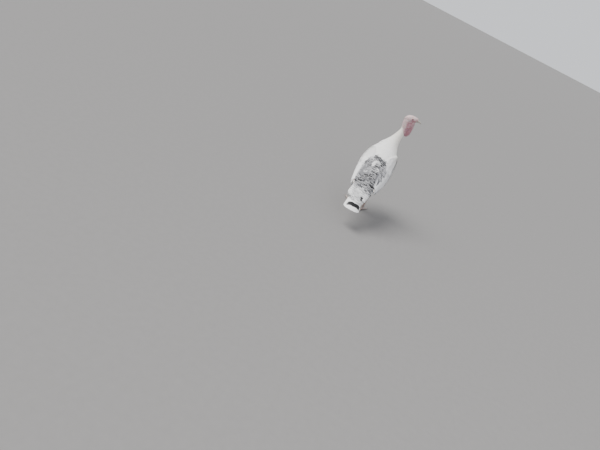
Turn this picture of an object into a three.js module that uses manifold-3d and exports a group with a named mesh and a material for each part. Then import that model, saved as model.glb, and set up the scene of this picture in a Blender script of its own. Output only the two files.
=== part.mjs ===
// A domestic turkey standing at rest, life size, in millimetres, with +Z up.
// The bird faces -Y, and its left side is +X. The neck leans to the bird's right, and the
// head looks over that side. The outer surfaces are those of the feather coat.
import * as THREE from 'three';
import { mergeVertices } from 'three/addons/utils/BufferGeometryUtils.js';
import Module from 'manifold-3d';

const wasm = await Module();
wasm.setup();

// Driving dimensions.
const GAP = 0.3; // between two pieces that touch
const FAR = 2000; // reaches past the whole bird
const LEFT = 1;
const RIGHT = -1;
const SIDES = { left: LEFT, right: RIGHT };

// The trunk and neck are one long form swept along the spine: the middle of each section, then
// its reach to either side, towards the back and towards the breast.
const SPINE = [
  { at: [-27, -133, 696], side: 20, back: 19, breast: 19 }, // skull base
  { at: [-34, -133, 656], side: 26, back: 22, breast: 22 }, // throat
  { at: [-42, -133, 612], side: 24, back: 24, breast: 25 }, // top of the feathers
  { at: [-31, -126, 566], side: 28, back: 29, breast: 33 }, // hackle
  { at: [-19, -108, 512], side: 44, back: 42, breast: 60 }, // neck root
  { at: [-8, -84, 456], side: 77, back: 67, breast: 106 }, // shoulders
  { at: [-4, -44, 396], side: 103, back: 92, breast: 124 }, // breast
  { at: [0, 32, 334], side: 113, back: 100, breast: 118 }, // keel
  { at: [0, 114, 292], side: 108, back: 88, breast: 92 }, // loin
  { at: [1, 196, 257], side: 91, back: 64, breast: 58 }, // rump
  { at: [5, 266, 232], side: 80, back: 41, breast: 34 }, // tail root
  { at: [9, 330, 204], side: 74, back: 25, breast: 20 }, // tail coverts
  { at: [8, 388, 175], side: 67, back: 11, breast: 9 }, // ends of the tail coverts
];
const SPINE_RINGS = 24;
const SPINE_SIDES = 24;
const BACK = new THREE.Vector3(0, 1, 0.35); // roughly where the back of every section faces
const TRUNK_CUT = { at: [-12, -108, 520], facing: [-0.25, -0.45, 1] };
const BARE_CUT = { at: [-44, -133, 606], facing: [-1.15, -0.4, 1] };
const TAIL_CUT = { at: [0, 226, 246], facing: [0, 1, -0.42] };

// The folded wing lies on a form like the body's, wider towards the tail. It covers the
// sections between two angles up from the side, and swells past the form by its lift.
const WING_FORM = [
  { at: [-8, -84, 456], side: 79, back: 67, breast: 106 },
  { at: [-4, -44, 396], side: 106, back: 92, breast: 124 },
  { at: [0, 32, 334], side: 116, back: 100, breast: 118 },
  { at: [0, 114, 292], side: 112, back: 88, breast: 92 },
  { at: [1, 196, 257], side: 101, back: 68, breast: 66 },
  { at: [5, 266, 232], side: 92, back: 46, breast: 46 },
  { at: [9, 332, 206], side: 82, back: 34, breast: 30 },
];
const WING = {
  start: 0.07, end: 0.95, // shares of the form's length
  lift: 9, depth: 10, // out of the form and into it
  thinFront: 0.3, thinTip: 0.35, // shares of the wing over which it thins out
  rings: 14, points: 14,
  margin: 0.003, // what each millimetre of clearance adds to either end
};
const WING_EDGES = [
  { upper: 22, lower: -12 }, // wrist
  { upper: 58, lower: -27 },
  { upper: 66, lower: -31 },
  { upper: 66, lower: -28 },
  { upper: 60, lower: -21 },
  { upper: 46, lower: -10 },
  { upper: 26, lower: 2 }, // primary tips
];

// The closed tail: half its width and its thickness along its middle, arched like a roof tile.
const TAIL = [
  { at: [5, 214, 268], side: 40, back: 12, breast: 12 },
  { at: [9, 300, 218], side: 58, back: 10, breast: 10 },
  { at: [7, 390, 170], side: 66, back: 6, breast: 6 },
  { at: [1, 474, 128], side: 64, back: 3, breast: 3 },
];
const TAIL_ARCH = 15; // how far the outer feathers lie below the middle pair
const TAIL_ROUND = 42; // how far the outer feathers end short of the middle pair

// The head, in a frame of its own at the middle between the eyes: forward, left, up.
const HEAD = { at: [-57, -138, 707], yaw: 80, pitch: 14 };
const SKULL = [
  { at: [-56, 0, -9], side: 13, back: 16, breast: 19 },
  { at: [-37, 0, -4], side: 20, back: 23, breast: 28 },
  { at: [-15, 0, 0], side: 22.5, back: 25, breast: 29 },
  { at: [4, 0, 0], side: 21, back: 23, breast: 26 },
  { at: [20, 0, -2], side: 16, back: 19.5, breast: 18 },
  { at: [34, 0, -6.5], side: 10.8, back: 11.5, breast: 10.5 },
];
const THROAT = [
  { at: [26, 0, -13], side: 10.5, back: 6, breast: 6 },
  { at: [11, 0, -26], side: 17, back: 12, breast: 12 },
  { at: [-8, 0, -46], side: 20.5, back: 18, breast: 20 },
  { at: [-26, 0, -74], side: 19.5, back: 17, breast: 20 },
  { at: [-43, 0, -106], side: 16.5, back: 13, breast: 15 },
];
const BILL = [
  { at: [24, 0, -6.5], side: 9.8, back: 9.4, breast: 9.4 },
  { at: [37, 0, -8.5], side: 9.2, back: 9.4, breast: 8 },
  { at: [49, 0, -11.5], side: 7.3, back: 9, breast: 5.2 },
  { at: [60, 0, -16.5], side: 5, back: 7.1, breast: 3.1 },
  { at: [69, 0, -24.5], side: 1.7, back: 2.7, breast: 2.3 },
];
const BILL_SLIT = { at: [31.5, 0, -11.8], facing: [-0.26, 0, -1] };
const BILL_LOWER_END = { at: [60.5, 0, -19], facing: [-1, 0, 0.3] };
const HEAD_CUT = { at: [-31, 0, -47], facing: [-0.3, 0, -1] };
const EYE = { at: [1, 16.1, 2.8], radius: 6.8 };
const SNOOD = [
  { at: [17, 0, 11], side: 6.4, back: 6.2, breast: 6.2 },
  { at: [26, -1, 13], side: 5.6, back: 5.4, breast: 5.4 },
  { at: [34, -5, 9], side: 4.8, back: 4.6, breast: 4.6 },
  { at: [38, -10, 1], side: 4, back: 4, breast: 4 },
  { at: [38.5, -12.5, -9], side: 3.2, back: 3.2, breast: 3.2 },
];
const DEWLAP = [
  { at: [22, 0, -24], side: 3, back: 5, breast: 5 },
  { at: [14, 0, -46], side: 3.8, back: 11.5, breast: 11 },
  { at: [4, 0, -74], side: 4.6, back: 16.5, breast: 18 },
  { at: [-6, 0, -104], side: 4.8, back: 18.5, breast: 23 },
  { at: [-20, 0, -134], side: 3.8, back: 13, breast: 15 },
];

// Legs, for a foot at the origin; the left one stands a little ahead of the right.
const LEG = { spread: 58, back: 38, stride: 13 };
const THIGH = [
  { at: [2, -58, 286], side: 30, back: 36, breast: 36 },
  { at: [2, -12, 240], side: 31, back: 37, breast: 36 },
  { at: [1, 26, 198], side: 22, back: 25, breast: 24 },
  { at: [0, 45, 164], side: 13.5, back: 14.5, breast: 14.5 },
];
const SHANK = [
  { at: [0, 42, 182], side: 9.5, back: 10, breast: 10 },
  { at: [0, 47, 160], side: 12.5, back: 13.5, breast: 12.5 },
  { at: [0, 43, 140], side: 9.8, back: 11, breast: 10.5 },
  { at: [0, 30, 92], side: 8, back: 10, breast: 9 },
  { at: [0, 14, 34], side: 8.8, back: 9.6, breast: 9.4 },
  { at: [0, 6, 14], side: 10, back: 9.5, breast: 9.5 },
];
const FOOT_CUT = { at: [0, 11, 25], facing: [0, -0.3, -1] };
const FOOT_PAD = { at: [0, 2, 8.2], radius: 11 };
const SOLE = 5.2; // height of a toe's middle over the floor, less than its radius: small flats
const TOES = {
  inner: { turn: 30, length: 54, start: [0, 4], thick: 6.6, thin: 5.6, claw: 12.5, rise: 7.6 },
  middle: { turn: -2, length: 76, start: [0, 2], thick: 7.2, thin: 5.8, claw: 14, rise: 8.2 },
  outer: { turn: -34, length: 60, start: [0, 4], thick: 6.6, thin: 5.6, claw: 12.5, rise: 7.6 },
  hind: { turn: 164, length: 34, start: [0, 10], thick: 6.2, thin: 6, claw: 9, rise: 17 },
};
const KNUCKLES = { inner: 2, middle: 3, outer: 4, hind: 1 };
const KNUCKLE_SWELL = 0.07; // share of the toe's radius
const CLAW_ROOT = 3; // how far a claw reaches back from where its toe ends, and again inside it
const CLAW_TAPER = [0.62, 0.56, 0.36, 0.12]; // shares of the toe's radius, root to point
const CLAW_CURVE = [0.4, 0.9, -0.6, -3.4]; // heights over the toe's middle, root to point

// Materials, one for each kind of surface.
const COLOURS = {
  plumage: { color: 0xe4e3df, roughness: 0.9 },
  bareSkin: { color: 0xb8868a, roughness: 0.6 },
  wattle: { color: 0x8e4f55, roughness: 0.55 },
  bill: { color: 0xc4bcae, roughness: 0.5 },
  eye: { color: 0x2a1c14, roughness: 0.12 },
  scales: { color: 0xb99c8d, roughness: 0.7 },
  claw: { color: 0x7d7062, roughness: 0.5 },
};

const vector = ([x, y, z]) => new THREE.Vector3(x, y, z);
const radians = THREE.MathUtils.degToRad;

// A closed geometry as a manifold solid, with its faces turned outwards.
function solidOf(geometry) {
  geometry.deleteAttribute('normal');
  geometry.deleteAttribute('uv');
  const merged = mergeVertices(geometry, 1e-4);
  const build = (triVerts) => new wasm.Manifold(new wasm.Mesh({
    numProp: 3,
    vertProperties: merged.attributes.position.array,
    triVerts,
  }));
  const faces = new Uint32Array(merged.index.array);
  const solid = build(faces);
  if (solid.volume() > 0) return solid;
  return build(faces.reverse());
}

// Rings of equally many points, joined by a skin and closed by a fan at either tip.
function skinOver(rings, firstTip, lastTip) {
  const sides = rings[0].length;
  const points = [...rings.flat(), firstTip, lastTip];
  const last = (rings.length - 1) * sides;
  const faces = [];
  for (let side = 0; side < sides; side += 1) {
    const next = (side + 1) % sides;
    faces.push(points.length - 2, next, side);
    faces.push(points.length - 1, last + side, last + next);
    for (let start = 0; start < last; start += sides) {
      faces.push(start + side, start + next, start + sides + next);
      faces.push(start + side, start + sides + next, start + sides + side);
    }
  }
  const geometry = new THREE.BufferGeometry().setFromPoints(points);
  geometry.setIndex(faces);
  return solidOf(geometry);
}

// Smooth curves through the stations, for the middles of the sections and for their reaches.
function formOf(stations, back) {
  const curve = (points) => new THREE.CatmullRomCurve3(points, false, 'catmullrom', 0.5);
  const path = curve(stations.map((station) => vector(station.at)));
  const reach = curve(stations.map(({ side, back: up, breast }) => vector([side, up, breast])));
  return (t) => {
    const along = path.getTangent(t);
    const up = back.clone().addScaledVector(along, -back.dot(along)).normalize();
    const across = new THREE.Vector3().crossVectors(along, up);
    return { middle: path.getPoint(t), reach: reach.getPoint(t), up, across };
  };
}

// The point of a section at an angle up from its side, and some way off its surface.
function onSection({ middle, reach, up, across }, angle, off = 0, size = 1) {
  const height = Math.sin(angle) > 0 ? reach.y : reach.z;
  return middle.clone()
    .addScaledVector(across, (reach.x + off) * size * Math.cos(angle))
    .addScaledVector(up, (height + off) * size * Math.sin(angle));
}

// A solid swept through its stations, rounded off over the given shares of its length. Its
// rings are closest at the ends, or equally far apart where it is even.
function sweep(stations, options) {
  const { back = BACK, rings = 12, sides = 16, round, grow = 0, lift, even = 0 } = options;
  const form = formOf(stations, back);
  const dome = (share) => Math.sqrt(Math.max(1 - (1 - Math.min(share, 1)) ** 2, 0));
  const made = [];
  for (let ring = 0; ring < rings; ring += 1) {
    const share = (ring + 0.5) / rings;
    const t = THREE.MathUtils.lerp((1 - Math.cos(Math.PI * share)) / 2, share, even);
    const size = dome(t / round[0]) * dome((1 - t) / round[1]);
    const section = form(t);
    made.push(Array.from({ length: sides }, (_, side) => {
      const point = onSection(section, (2 * Math.PI * side) / sides, grow, size);
      return lift ? lift(point, t) : point;
    }));
  }
  const ends = [form(0).middle, form(1).middle].map((tip, end) => (lift ? lift(tip, end) : tip));
  return skinOver(made, ...ends);
}

// The half of space that a plane faces, as a block with the plane through one side.
function halfSpace({ at, facing }) {
  const block = new THREE.BoxGeometry(FAR, FAR, FAR);
  block.translate(0, 0, FAR / 2);
  const turn = new THREE.Quaternion();
  turn.setFromUnitVectors(new THREE.Vector3(0, 0, 1), vector(facing).normalize());
  block.applyQuaternion(turn);
  block.translate(...at);
  return solidOf(block);
}

// Parts a solid along a plane with a thin cut: what the plane faces, and the rest.
function part(solid, plane) {
  const normal = vector(plane.facing).normalize();
  const moved = vector(plane.at).addScaledVector(normal, GAP).toArray();
  const ahead = solid.intersect(halfSpace({ at: moved, facing: plane.facing }));
  const behind = solid.subtract(halfSpace(plane));
  return [ahead, behind];
}

// The largest body of a solid, without the crumbs that a cut may leave.
function largest(solid) {
  return solid.decompose().sort((a, b) => b.volume() - a.volume())[0];
}

function bodyForm(grow = 0) {
  return sweep(SPINE, {
    rings: SPINE_RINGS, sides: SPINE_SIDES, round: [0.02, 0.04], even: 1, grow,
  });
}

// One folded wing: a lens between two angles of its form, rounded at the wrist and the tips.
function wing(hand, grow = 0) {
  const form = formOf(WING_FORM, BACK);
  const edges = new THREE.CatmullRomCurve3(
    WING_EDGES.map(({ upper, lower }) => vector([upper, lower, 0])), false, 'catmullrom', 0.5,
  );
  const margin = grow * WING.margin;
  const place = (t, share, rise) => {
    const { x: upper, y: lower } = edges.getPoint(t);
    const angle = radians(THREE.MathUtils.lerp(lower - grow, upper + grow, share));
    const along = THREE.MathUtils.lerp(WING.start - margin, WING.end + margin, t);
    const section = form(along);
    const point = onSection(section, angle, rise);
    point.x = section.middle.x + hand * Math.abs(point.x - section.middle.x);
    return point;
  };
  const rings = [];
  for (let ring = 0; ring < WING.rings; ring += 1) {
    const t = (1 - Math.cos((Math.PI * (ring + 0.5)) / WING.rings)) / 2;
    const swell = Math.min(1, Math.sqrt(t / WING.thinFront), Math.sqrt((1 - t) / WING.thinTip));
    rings.push(Array.from({ length: WING.points }, (_, point) => {
      const round = (2 * Math.PI * point) / WING.points;
      const lens = Math.sin(round);
      const rise = lens > 0 ? lens * WING.lift + grow : lens * WING.depth - grow;
      return place(t, (1 - Math.cos(round)) / 2, rise * swell);
    }));
  }
  return skinOver(rings, place(0, 0.5, 0), place(1, 0.5, 0));
}

// The tail's feathers, shut into one plate that is arched across and rounded at its end.
function tailFan() {
  const widest = TAIL[TAIL.length - 1].side;
  const arch = (point, t) => {
    const across = Math.abs(point.x / widest) ** 2.4;
    return point.add(new THREE.Vector3(0, -TAIL_ROUND * across * t, -TAIL_ARCH * across));
  };
  return sweep(TAIL, { rings: 10, sides: 20, round: [0.05, 0.02], even: 0.5, lift: arch });
}

// The head's own frame, pitched up and turned to the bird's right from straight ahead.
const headFrame = new THREE.Matrix4().makeTranslation(...HEAD.at)
  .multiply(new THREE.Matrix4().makeRotationZ(radians(-90 - HEAD.yaw)))
  .multiply(new THREE.Matrix4().makeRotationY(radians(-HEAD.pitch)));

function onHead(solid) {
  return solid.transform(headFrame.elements);
}

function planeOnHead({ at, facing }) {
  return {
    at: vector(at).applyMatrix4(headFrame).toArray(),
    facing: vector(facing).transformDirection(headFrame).toArray(),
  };
}

const UP = new THREE.Vector3(0, 0, 1);
const AHEAD = new THREE.Vector3(1, 0, 0);

function skull(grow = 0) {
  const cranium = sweep(SKULL, { back: UP, rings: 12, sides: 18, round: [0.34, 0.16], grow });
  const throat = sweep(THROAT, { back: AHEAD, rings: 9, sides: 14, round: [0.2, 0.1], grow });
  return cranium.add(throat);
}

function bill(grow = 0) {
  return sweep(BILL, { back: UP, rings: 9, sides: 12, round: [0.05, 0.16], grow });
}

function eyeball(hand, grow = 0) {
  const ball = new THREE.SphereGeometry(EYE.radius + grow, 11, 7);
  ball.rotateX(Math.PI / 2);
  ball.translate(EYE.at[0], hand * EYE.at[1], EYE.at[2]);
  return solidOf(ball);
}

// The head's pieces, cut to meet one another.
function headParts() {
  const eyes = { left: eyeball(LEFT), right: eyeball(RIGHT) };
  const sockets = eyeball(LEFT, GAP).add(eyeball(RIGHT, GAP));
  const [billBelow] = part(bill(), BILL_SLIT);
  const [billLower] = part(billBelow, BILL_LOWER_END);
  const mouth = halfSpace(BILL_SLIT).intersect(halfSpace(BILL_LOWER_END));
  const billUpper = bill().subtract(mouth);
  const aroundSkull = skull(GAP).add(bill(GAP));
  const snood = sweep(SNOOD, { back: UP, rings: 6, sides: 8, round: [0.1, 0.25] });
  const dewlap = sweep(DEWLAP, { back: AHEAD, rings: 10, sides: 10, round: [0.12, 0.12] });
  return {
    whole: onHead(skull()),
    hollows: onHead(sockets.add(bill(GAP))),
    billUpper: onHead(billUpper),
    billLower: onHead(billLower),
    snood: onHead(snood.subtract(aroundSkull)),
    dewlap: onHead(dewlap.subtract(aroundSkull)),
    eyes: { left: onHead(eyes.left), right: onHead(eyes.right) },
  };
}

// Moves a piece made for a foot at the origin to its leg.
function onLeg(solid, hand) {
  return solid.translate([hand * LEG.spread, LEG.back - hand * LEG.stride, 0]);
}

function mirrored(stations, hand) {
  return stations.map((station) => {
    const [x, y, z] = station.at;
    return { ...station, at: [x * hand, y, z] };
  });
}

const BEHIND = new THREE.Vector3(0, 1, 0);

function thigh(hand, grow = 0) {
  const stations = mirrored(THIGH, hand);
  return sweep(stations, { back: BEHIND, rings: 9, sides: 12, round: [0.3, 0.08], grow });
}

function shank(hand, grow = 0) {
  const stations = mirrored(SHANK, hand);
  return sweep(stations, { back: BEHIND, rings: 12, sides: 12, round: [0.08, 0.05], grow });
}

// The way a toe points, and the plane across it where its claw starts.
function toeLine(name, hand) {
  const { turn, length, start } = TOES[name];
  const angle = radians(turn * hand);
  const heading = new THREE.Vector3(Math.sin(-angle), -Math.cos(angle), 0);
  const end = new THREE.Vector3(...start, SOLE).addScaledVector(heading, length - CLAW_ROOT);
  return { heading, nail: { at: end.toArray(), facing: heading.toArray() } };
}

// A toe lies out from the foot's middle, its sections swollen at the knuckles.
function toe(name, hand) {
  const { length, start, thick, thin, rise } = TOES[name];
  const { heading } = toeLine(name, hand);
  const steps = 4;
  const stations = Array.from({ length: steps + 1 }, (_, step) => {
    const share = step / steps;
    const radius = THREE.MathUtils.lerp(thick, thin, share);
    const at = heading.clone().multiplyScalar(length * share);
    at.add(new THREE.Vector3(...start, SOLE + (rise - SOLE) * (1 - share) ** 2));
    return { at: at.toArray(), side: radius, back: radius, breast: radius };
  });
  const knuckled = (point, t) => {
    const middle = new THREE.Vector3(...start, SOLE).addScaledVector(heading, length * t);
    const out = point.clone().sub(middle);
    out.addScaledVector(heading, -out.dot(heading));
    const bump = KNUCKLE_SWELL * Math.cos(2 * Math.PI * t * KNUCKLES[name]);
    return point.addScaledVector(out, bump);
  };
  return sweep(stations, {
    back: UP, rings: 2 + 2 * KNUCKLES[name], sides: 8, round: [0.08, 0.1], lift: knuckled,
  });
}

// A claw grows from the end of its toe and curves down to just over the floor.
function claw(name, hand) {
  const { length, start, thin, claw: reach } = TOES[name];
  const { heading } = toeLine(name, hand);
  const inside = 2 * CLAW_ROOT;
  const root = new THREE.Vector3(...start, SOLE).addScaledVector(heading, length - inside);
  const stations = CLAW_TAPER.map((taper, step) => {
    const share = step / (CLAW_TAPER.length - 1);
    const at = root.clone().addScaledVector(heading, (reach + inside) * share);
    at.z += CLAW_CURVE[step];
    return { at: at.toArray(), side: thin * taper * 0.8, back: thin * taper, breast: thin * taper };
  });
  return sweep(stations, { back: UP, rings: 6, sides: 7, round: [0.08, 0.06] });
}

// One leg below the feathers: the shank, the foot with its four toes, and their claws.
function footParts(hand) {
  const [lowerEnd, shankPart] = part(shank(hand), FOOT_CUT);
  const pad = new THREE.SphereGeometry(FOOT_PAD.radius, 9, 6);
  pad.translate(...FOOT_PAD.at);
  let foot = lowerEnd.add(solidOf(pad));
  const above = halfSpace(FOOT_CUT);
  const claws = {};
  const floor = halfSpace({ at: [0, 0, 0], facing: [0, 0, -1] });
  for (const name of Object.keys(TOES)) {
    const { nail } = toeLine(name, hand);
    const [, toePart] = part(toe(name, hand), nail);
    const [clawPart] = part(claw(name, hand), nail);
    foot = foot.add(toePart.intersect(above));
    claws[name] = clawPart.subtract(floor);
  }
  return { foot: foot.subtract(floor), shank: shankPart, claws };
}

// The pieces of the whole bird, each cut by those it meets.
const bird = new THREE.Group();

function add(name, solid, look) {
  const { vertProperties, triVerts } = largest(solid).getMesh();
  const geometry = new THREE.BufferGeometry();
  geometry.setAttribute('position', new THREE.BufferAttribute(vertProperties, 3));
  geometry.setIndex(new THREE.BufferAttribute(triVerts, 1));
  geometry.computeVertexNormals();
  const mesh = new THREE.Mesh(geometry, new THREE.MeshStandardMaterial(COLOURS[look]));
  mesh.name = name;
  bird.add(mesh);
}

const head = headParts();
const body = bodyForm();
const [aboveTrunk, trunkAndTail] = part(body, TRUNK_CUT);
const [neckTop, neckLower] = part(aboveTrunk, BARE_CUT);
const [tailCoverts, trunkWhole] = part(trunkAndTail, TAIL_CUT);
const [fan] = part(tailFan(), TAIL_CUT);

let trunk = trunkWhole;
let tail = tailCoverts.add(fan);
for (const [label, hand] of Object.entries(SIDES)) {
  const folded = wing(hand);
  const aroundWing = wing(hand, GAP);
  trunk = trunk.subtract(aroundWing);
  tail = tail.subtract(aroundWing);
  add(`wing_${label}`, folded, 'plumage');
}
for (const [label, hand] of Object.entries(SIDES)) {
  const { foot, shank: shankPart, claws } = footParts(hand);
  const drumstick = onLeg(thigh(hand).subtract(shank(hand, GAP)), hand);
  trunk = trunk.subtract(onLeg(thigh(hand, GAP), hand));
  add(`thigh_${label}`, drumstick.subtract(wing(hand, GAP)), 'plumage');
  add(`shank_${label}`, onLeg(shankPart, hand), 'scales');
  add(`foot_${label}`, onLeg(foot, hand), 'scales');
  for (const [name, solid] of Object.entries(claws)) {
    add(`claw_${name}_${label}`, onLeg(solid, hand), 'claw');
  }
}
add('trunk', trunk, 'plumage');
add('tail', tail, 'plumage');
add('neck_lower', neckLower, 'plumage');
const aroundNeck = bodyForm(GAP);
const [bareSkin] = part(head.whole, BARE_CUT);
const [neckUpper, face] = part(neckTop.add(bareSkin), planeOnHead(HEAD_CUT));
add('neck_upper', neckUpper, 'bareSkin');
add('head', face.subtract(head.hollows), 'bareSkin');
add('dewlap', head.dewlap.subtract(aroundNeck), 'wattle');
add('snood', head.snood, 'wattle');
add('bill_upper', head.billUpper, 'bill');
add('bill_lower', head.billLower, 'bill');
add('eye_left', head.eyes.left, 'eye');
add('eye_right', head.eyes.right, 'eye');

// The group's origin is the middle of the bird's footprint box, at floor level.
const box = new THREE.Box3().setFromObject(bird);
const middle = box.getCenter(new THREE.Vector3());
for (const mesh of bird.children) mesh.position.set(-middle.x, -middle.y, -box.min.z);

export default bird;
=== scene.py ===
"""A standing domestic turkey, life size: its skin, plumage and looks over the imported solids.

Lengths are in metres with +Z up. Tables of sections and marks, and places in the head's frame,
are in millimetres. The bird faces -Y and its left side is +X: a hand is 1 on the left and -1 on
the right. Plumage is mesh: each feather is a thin closed vane that lies on the form of the
solids, rooted on the skin below it.
"""

import math

import bmesh
import bpy
import numpy as np
from mathutils import Matrix, Vector, noise
from mathutils.bvhtree import BVHTree


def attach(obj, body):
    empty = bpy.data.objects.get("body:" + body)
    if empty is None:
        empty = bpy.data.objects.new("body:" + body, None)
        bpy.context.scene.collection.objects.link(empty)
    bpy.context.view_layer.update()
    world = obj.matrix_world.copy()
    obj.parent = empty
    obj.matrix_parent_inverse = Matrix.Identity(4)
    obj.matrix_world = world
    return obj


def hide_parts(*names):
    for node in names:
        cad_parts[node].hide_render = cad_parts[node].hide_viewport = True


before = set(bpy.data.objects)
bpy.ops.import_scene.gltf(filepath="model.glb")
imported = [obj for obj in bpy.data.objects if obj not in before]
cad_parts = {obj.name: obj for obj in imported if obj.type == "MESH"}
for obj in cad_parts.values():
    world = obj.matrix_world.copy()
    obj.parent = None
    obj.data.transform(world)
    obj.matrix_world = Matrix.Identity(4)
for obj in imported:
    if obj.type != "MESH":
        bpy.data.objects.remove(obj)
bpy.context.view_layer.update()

MM = 0.001
SEED = 11
rng = np.random.default_rng(SEED)

LABELS = {1: "left", -1: "right"}
FEATHERED = ("trunk", "neck_lower", "wing_left", "wing_right", "thigh_left", "thigh_right", "tail")

# Where the drawing origin of the solids lies in the frame.
ORIGIN = np.array((0.00228, -0.14781, 0.0))

# Body sections from skull to tail: middle x, y, z, then reach to the side, to the back and to
# the breast. The other tables of sections are laid out in the same way.
SPINE = np.array((
    (-27, -133, 696, 20, 19, 19),
    (-34, -133, 656, 26, 22, 22),
    (-42, -133, 612, 24, 24, 25),
    (-31, -126, 566, 28, 29, 33),
    (-19, -108, 512, 44, 42, 60),
    (-8, -84, 456, 77, 67, 106),
    (-4, -44, 396, 103, 92, 124),
    (0, 32, 334, 113, 100, 118),
    (0, 114, 292, 108, 88, 92),
    (1, 196, 257, 91, 64, 58),
    (5, 266, 232, 80, 41, 34),
    (9, 330, 204, 74, 25, 20),
    (8, 388, 175, 67, 11, 9),
), float)
BACK = np.array((0, 1, 0.35))

# The form that a folded wing lies on, and the wing's upper and lower edge on it in degrees.
WING_FORM = np.array((
    (-8, -84, 456, 79, 67, 106),
    (-4, -44, 396, 106, 92, 124),
    (0, 32, 334, 116, 100, 118),
    (0, 114, 292, 112, 88, 92),
    (1, 196, 257, 101, 68, 66),
    (5, 266, 232, 92, 46, 46),
    (9, 332, 206, 82, 34, 30),
), float)
WING_EDGES = np.array(((22, -12), (58, -27), (66, -31), (66, -28), (60, -21), (46, -10), (26, 2)))

# Where a wing starts and ends on that form, and how far its middle bulges off it.
WING_START, WING_END, WING_LIFT = 0.07, 0.95, 9
THIGH = np.array((
    (2, -58, 286, 30, 36, 36),
    (2, -12, 240, 31, 37, 36),
    (1, 26, 198, 22, 25, 24),
    (0, 45, 164, 13.5, 14.5, 14.5),
), float)

# How far each leg is to its side and back, and how far it is ahead or behind in its stride.
LEG_SPREAD, LEG_BACK, LEG_STRIDE = 58, 38, 13
TAIL = np.array((
    (5, 214, 268, 40, 12, 12),
    (9, 300, 218, 58, 10, 10),
    (7, 390, 170, 66, 6, 6),
    (1, 474, 128, 64, 3, 3),
), float)

# How far the shut tail's sides drop, how much shorter they are, and how sharply both set in.
TAIL_ARCH, TAIL_ROUND, TAIL_CURVE = 15, 42, 2.4

# The plane above which neck and head are bare, and the head's own frame.
BARE_AT = np.array((-44, -133, 606)) * MM + ORIGIN
BARE_FACING = np.array((-1.15, -0.4, 1)) / np.linalg.norm((-1.15, -0.4, 1))
HEAD_AT, HEAD_YAW, HEAD_PITCH = np.array((-57, -138, 707)) * MM + ORIGIN, 80, 14
EYE_AT, EYE_RADIUS = (1, 16.1, 2.8), 6.8


# Curves and forms.

def unit(vectors):
    return vectors / np.maximum(np.linalg.norm(vectors, axis=-1, keepdims=True), 1e-12)


def dot(a, b):
    return (a * b).sum(axis=-1, keepdims=True)


def stacked(*parts):
    """The parts side by side along a last axis, with single numbers repeated."""
    return np.stack(np.broadcast_arrays(*parts), axis=-1)


def only(kept, *arrays):
    """The kept rows of each array."""
    return [values[kept] for values in arrays]


def smooth(low, high, value):
    """From 0 at low to 1 at high, level at both ends."""
    share = np.clip((value - low) / (high - low), 0, 1)
    return share * share * (3 - 2 * share)


def bell(*shares):
    """1 where all shares are 0, and falling off round there."""
    return np.exp(-sum(share ** 2 for share in shares))


def unrest(points):
    """Smooth noise from -1 to 1, with lumps about as wide as one unit."""
    return np.array([noise.noise(Vector(point)) for point in points])


class Curve:
    """A smooth curve through points of any number of coordinates."""

    def __init__(self, points):
        points = np.asarray(points, float)
        before, after = 2 * points[0] - points[1], 2 * points[-1] - points[-2]
        self.points = np.vstack([before, points, after])
        self.spans = len(points) - 1

    def at(self, t):
        place = np.clip(np.asarray(t, float), 0, 1) * self.spans
        first = np.minimum(place.astype(int), self.spans - 1)
        f = (place - first)[..., None]
        a, b, c, d = (self.points[first + k] for k in range(4))
        return 0.5 * (2 * b + (c - a) * f + (2 * a - 5 * b + 4 * c - d) * f ** 2
                      + (3 * b - a - 3 * c + d) * f ** 3)


class Form:
    """A swept form: points at a share of its length and an angle up from its side."""

    def __init__(self, stations, back, offset=ORIGIN):
        stations = np.array(stations, float) * MM
        stations[:, :3] += offset
        self.middle, self.reach = Curve(stations[:, :3]), Curve(stations[:, 3:])
        self.back = np.asarray(back, float)

    def along(self, t):
        step = 1e-4
        return unit(self.middle.at(np.add(t, step)) - self.middle.at(np.subtract(t, step)))

    def at(self, t, angle, off=0.0):
        t, angle = np.broadcast_arrays(np.asarray(t, float), angle)
        along = self.along(t)
        up = unit(self.back - along * dot(self.back, along))
        across = np.cross(along, up)
        side, back, breast = np.moveaxis(self.reach.at(t), -1, 0)
        height = np.where(np.sin(angle) > 0, back, breast)
        return (self.middle.at(t) + across * ((side + off) * np.cos(angle))[..., None]
                + up * ((height + off) * np.sin(angle))[..., None])


body_form = Form(SPINE, BACK)
wing_form = Form(WING_FORM, BACK)
wing_edges = Curve(WING_EDGES)


def on_wing_side(hand, t, points):
    """Points of the wings' form, brought to the side of one wing."""
    middle = wing_form.middle.at(t)[..., 0]
    points[..., 0] = middle + hand * np.abs(points[..., 0] - middle)
    return points


def wing_point(hand, a, b):
    """On a wing's outer face: a from its wrist to its tips, b from its lower to its upper edge."""
    a, b = np.broadcast_arrays(np.asarray(a, float), b)
    edges = wing_edges.at(a)
    angle = np.radians(edges[..., 1] + (edges[..., 0] - edges[..., 1]) * b)
    t = WING_START + (WING_END - WING_START) * a
    swell = np.minimum(1, np.minimum(np.sqrt(a / 0.3), np.sqrt(np.clip(1 - a, 0, 1) / 0.35)))
    lens = 2 * np.sqrt(np.clip(b * (1 - b), 0, 1))
    return on_wing_side(hand, t, wing_form.at(t, angle, WING_LIFT * MM * lens * swell))


def leg_origin(hand):
    """Where the sections and toes of a leg are measured from."""
    return ORIGIN + np.array((hand * LEG_SPREAD, LEG_BACK - hand * LEG_STRIDE, 0)) * MM


def turned(degrees, axis):
    return Matrix.Rotation(math.radians(degrees), 4, axis)


HEAD = np.array(Matrix.Translation(HEAD_AT) @ turned(-90 - HEAD_YAW, "Z")
                @ turned(-HEAD_PITCH, "Y"))


def on_head(points):
    """Points of the head's frame (ahead, left, up) in the model's frame."""
    return np.asarray(points, float) * MM @ HEAD[:3, :3].T + HEAD[:3, 3]


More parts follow.
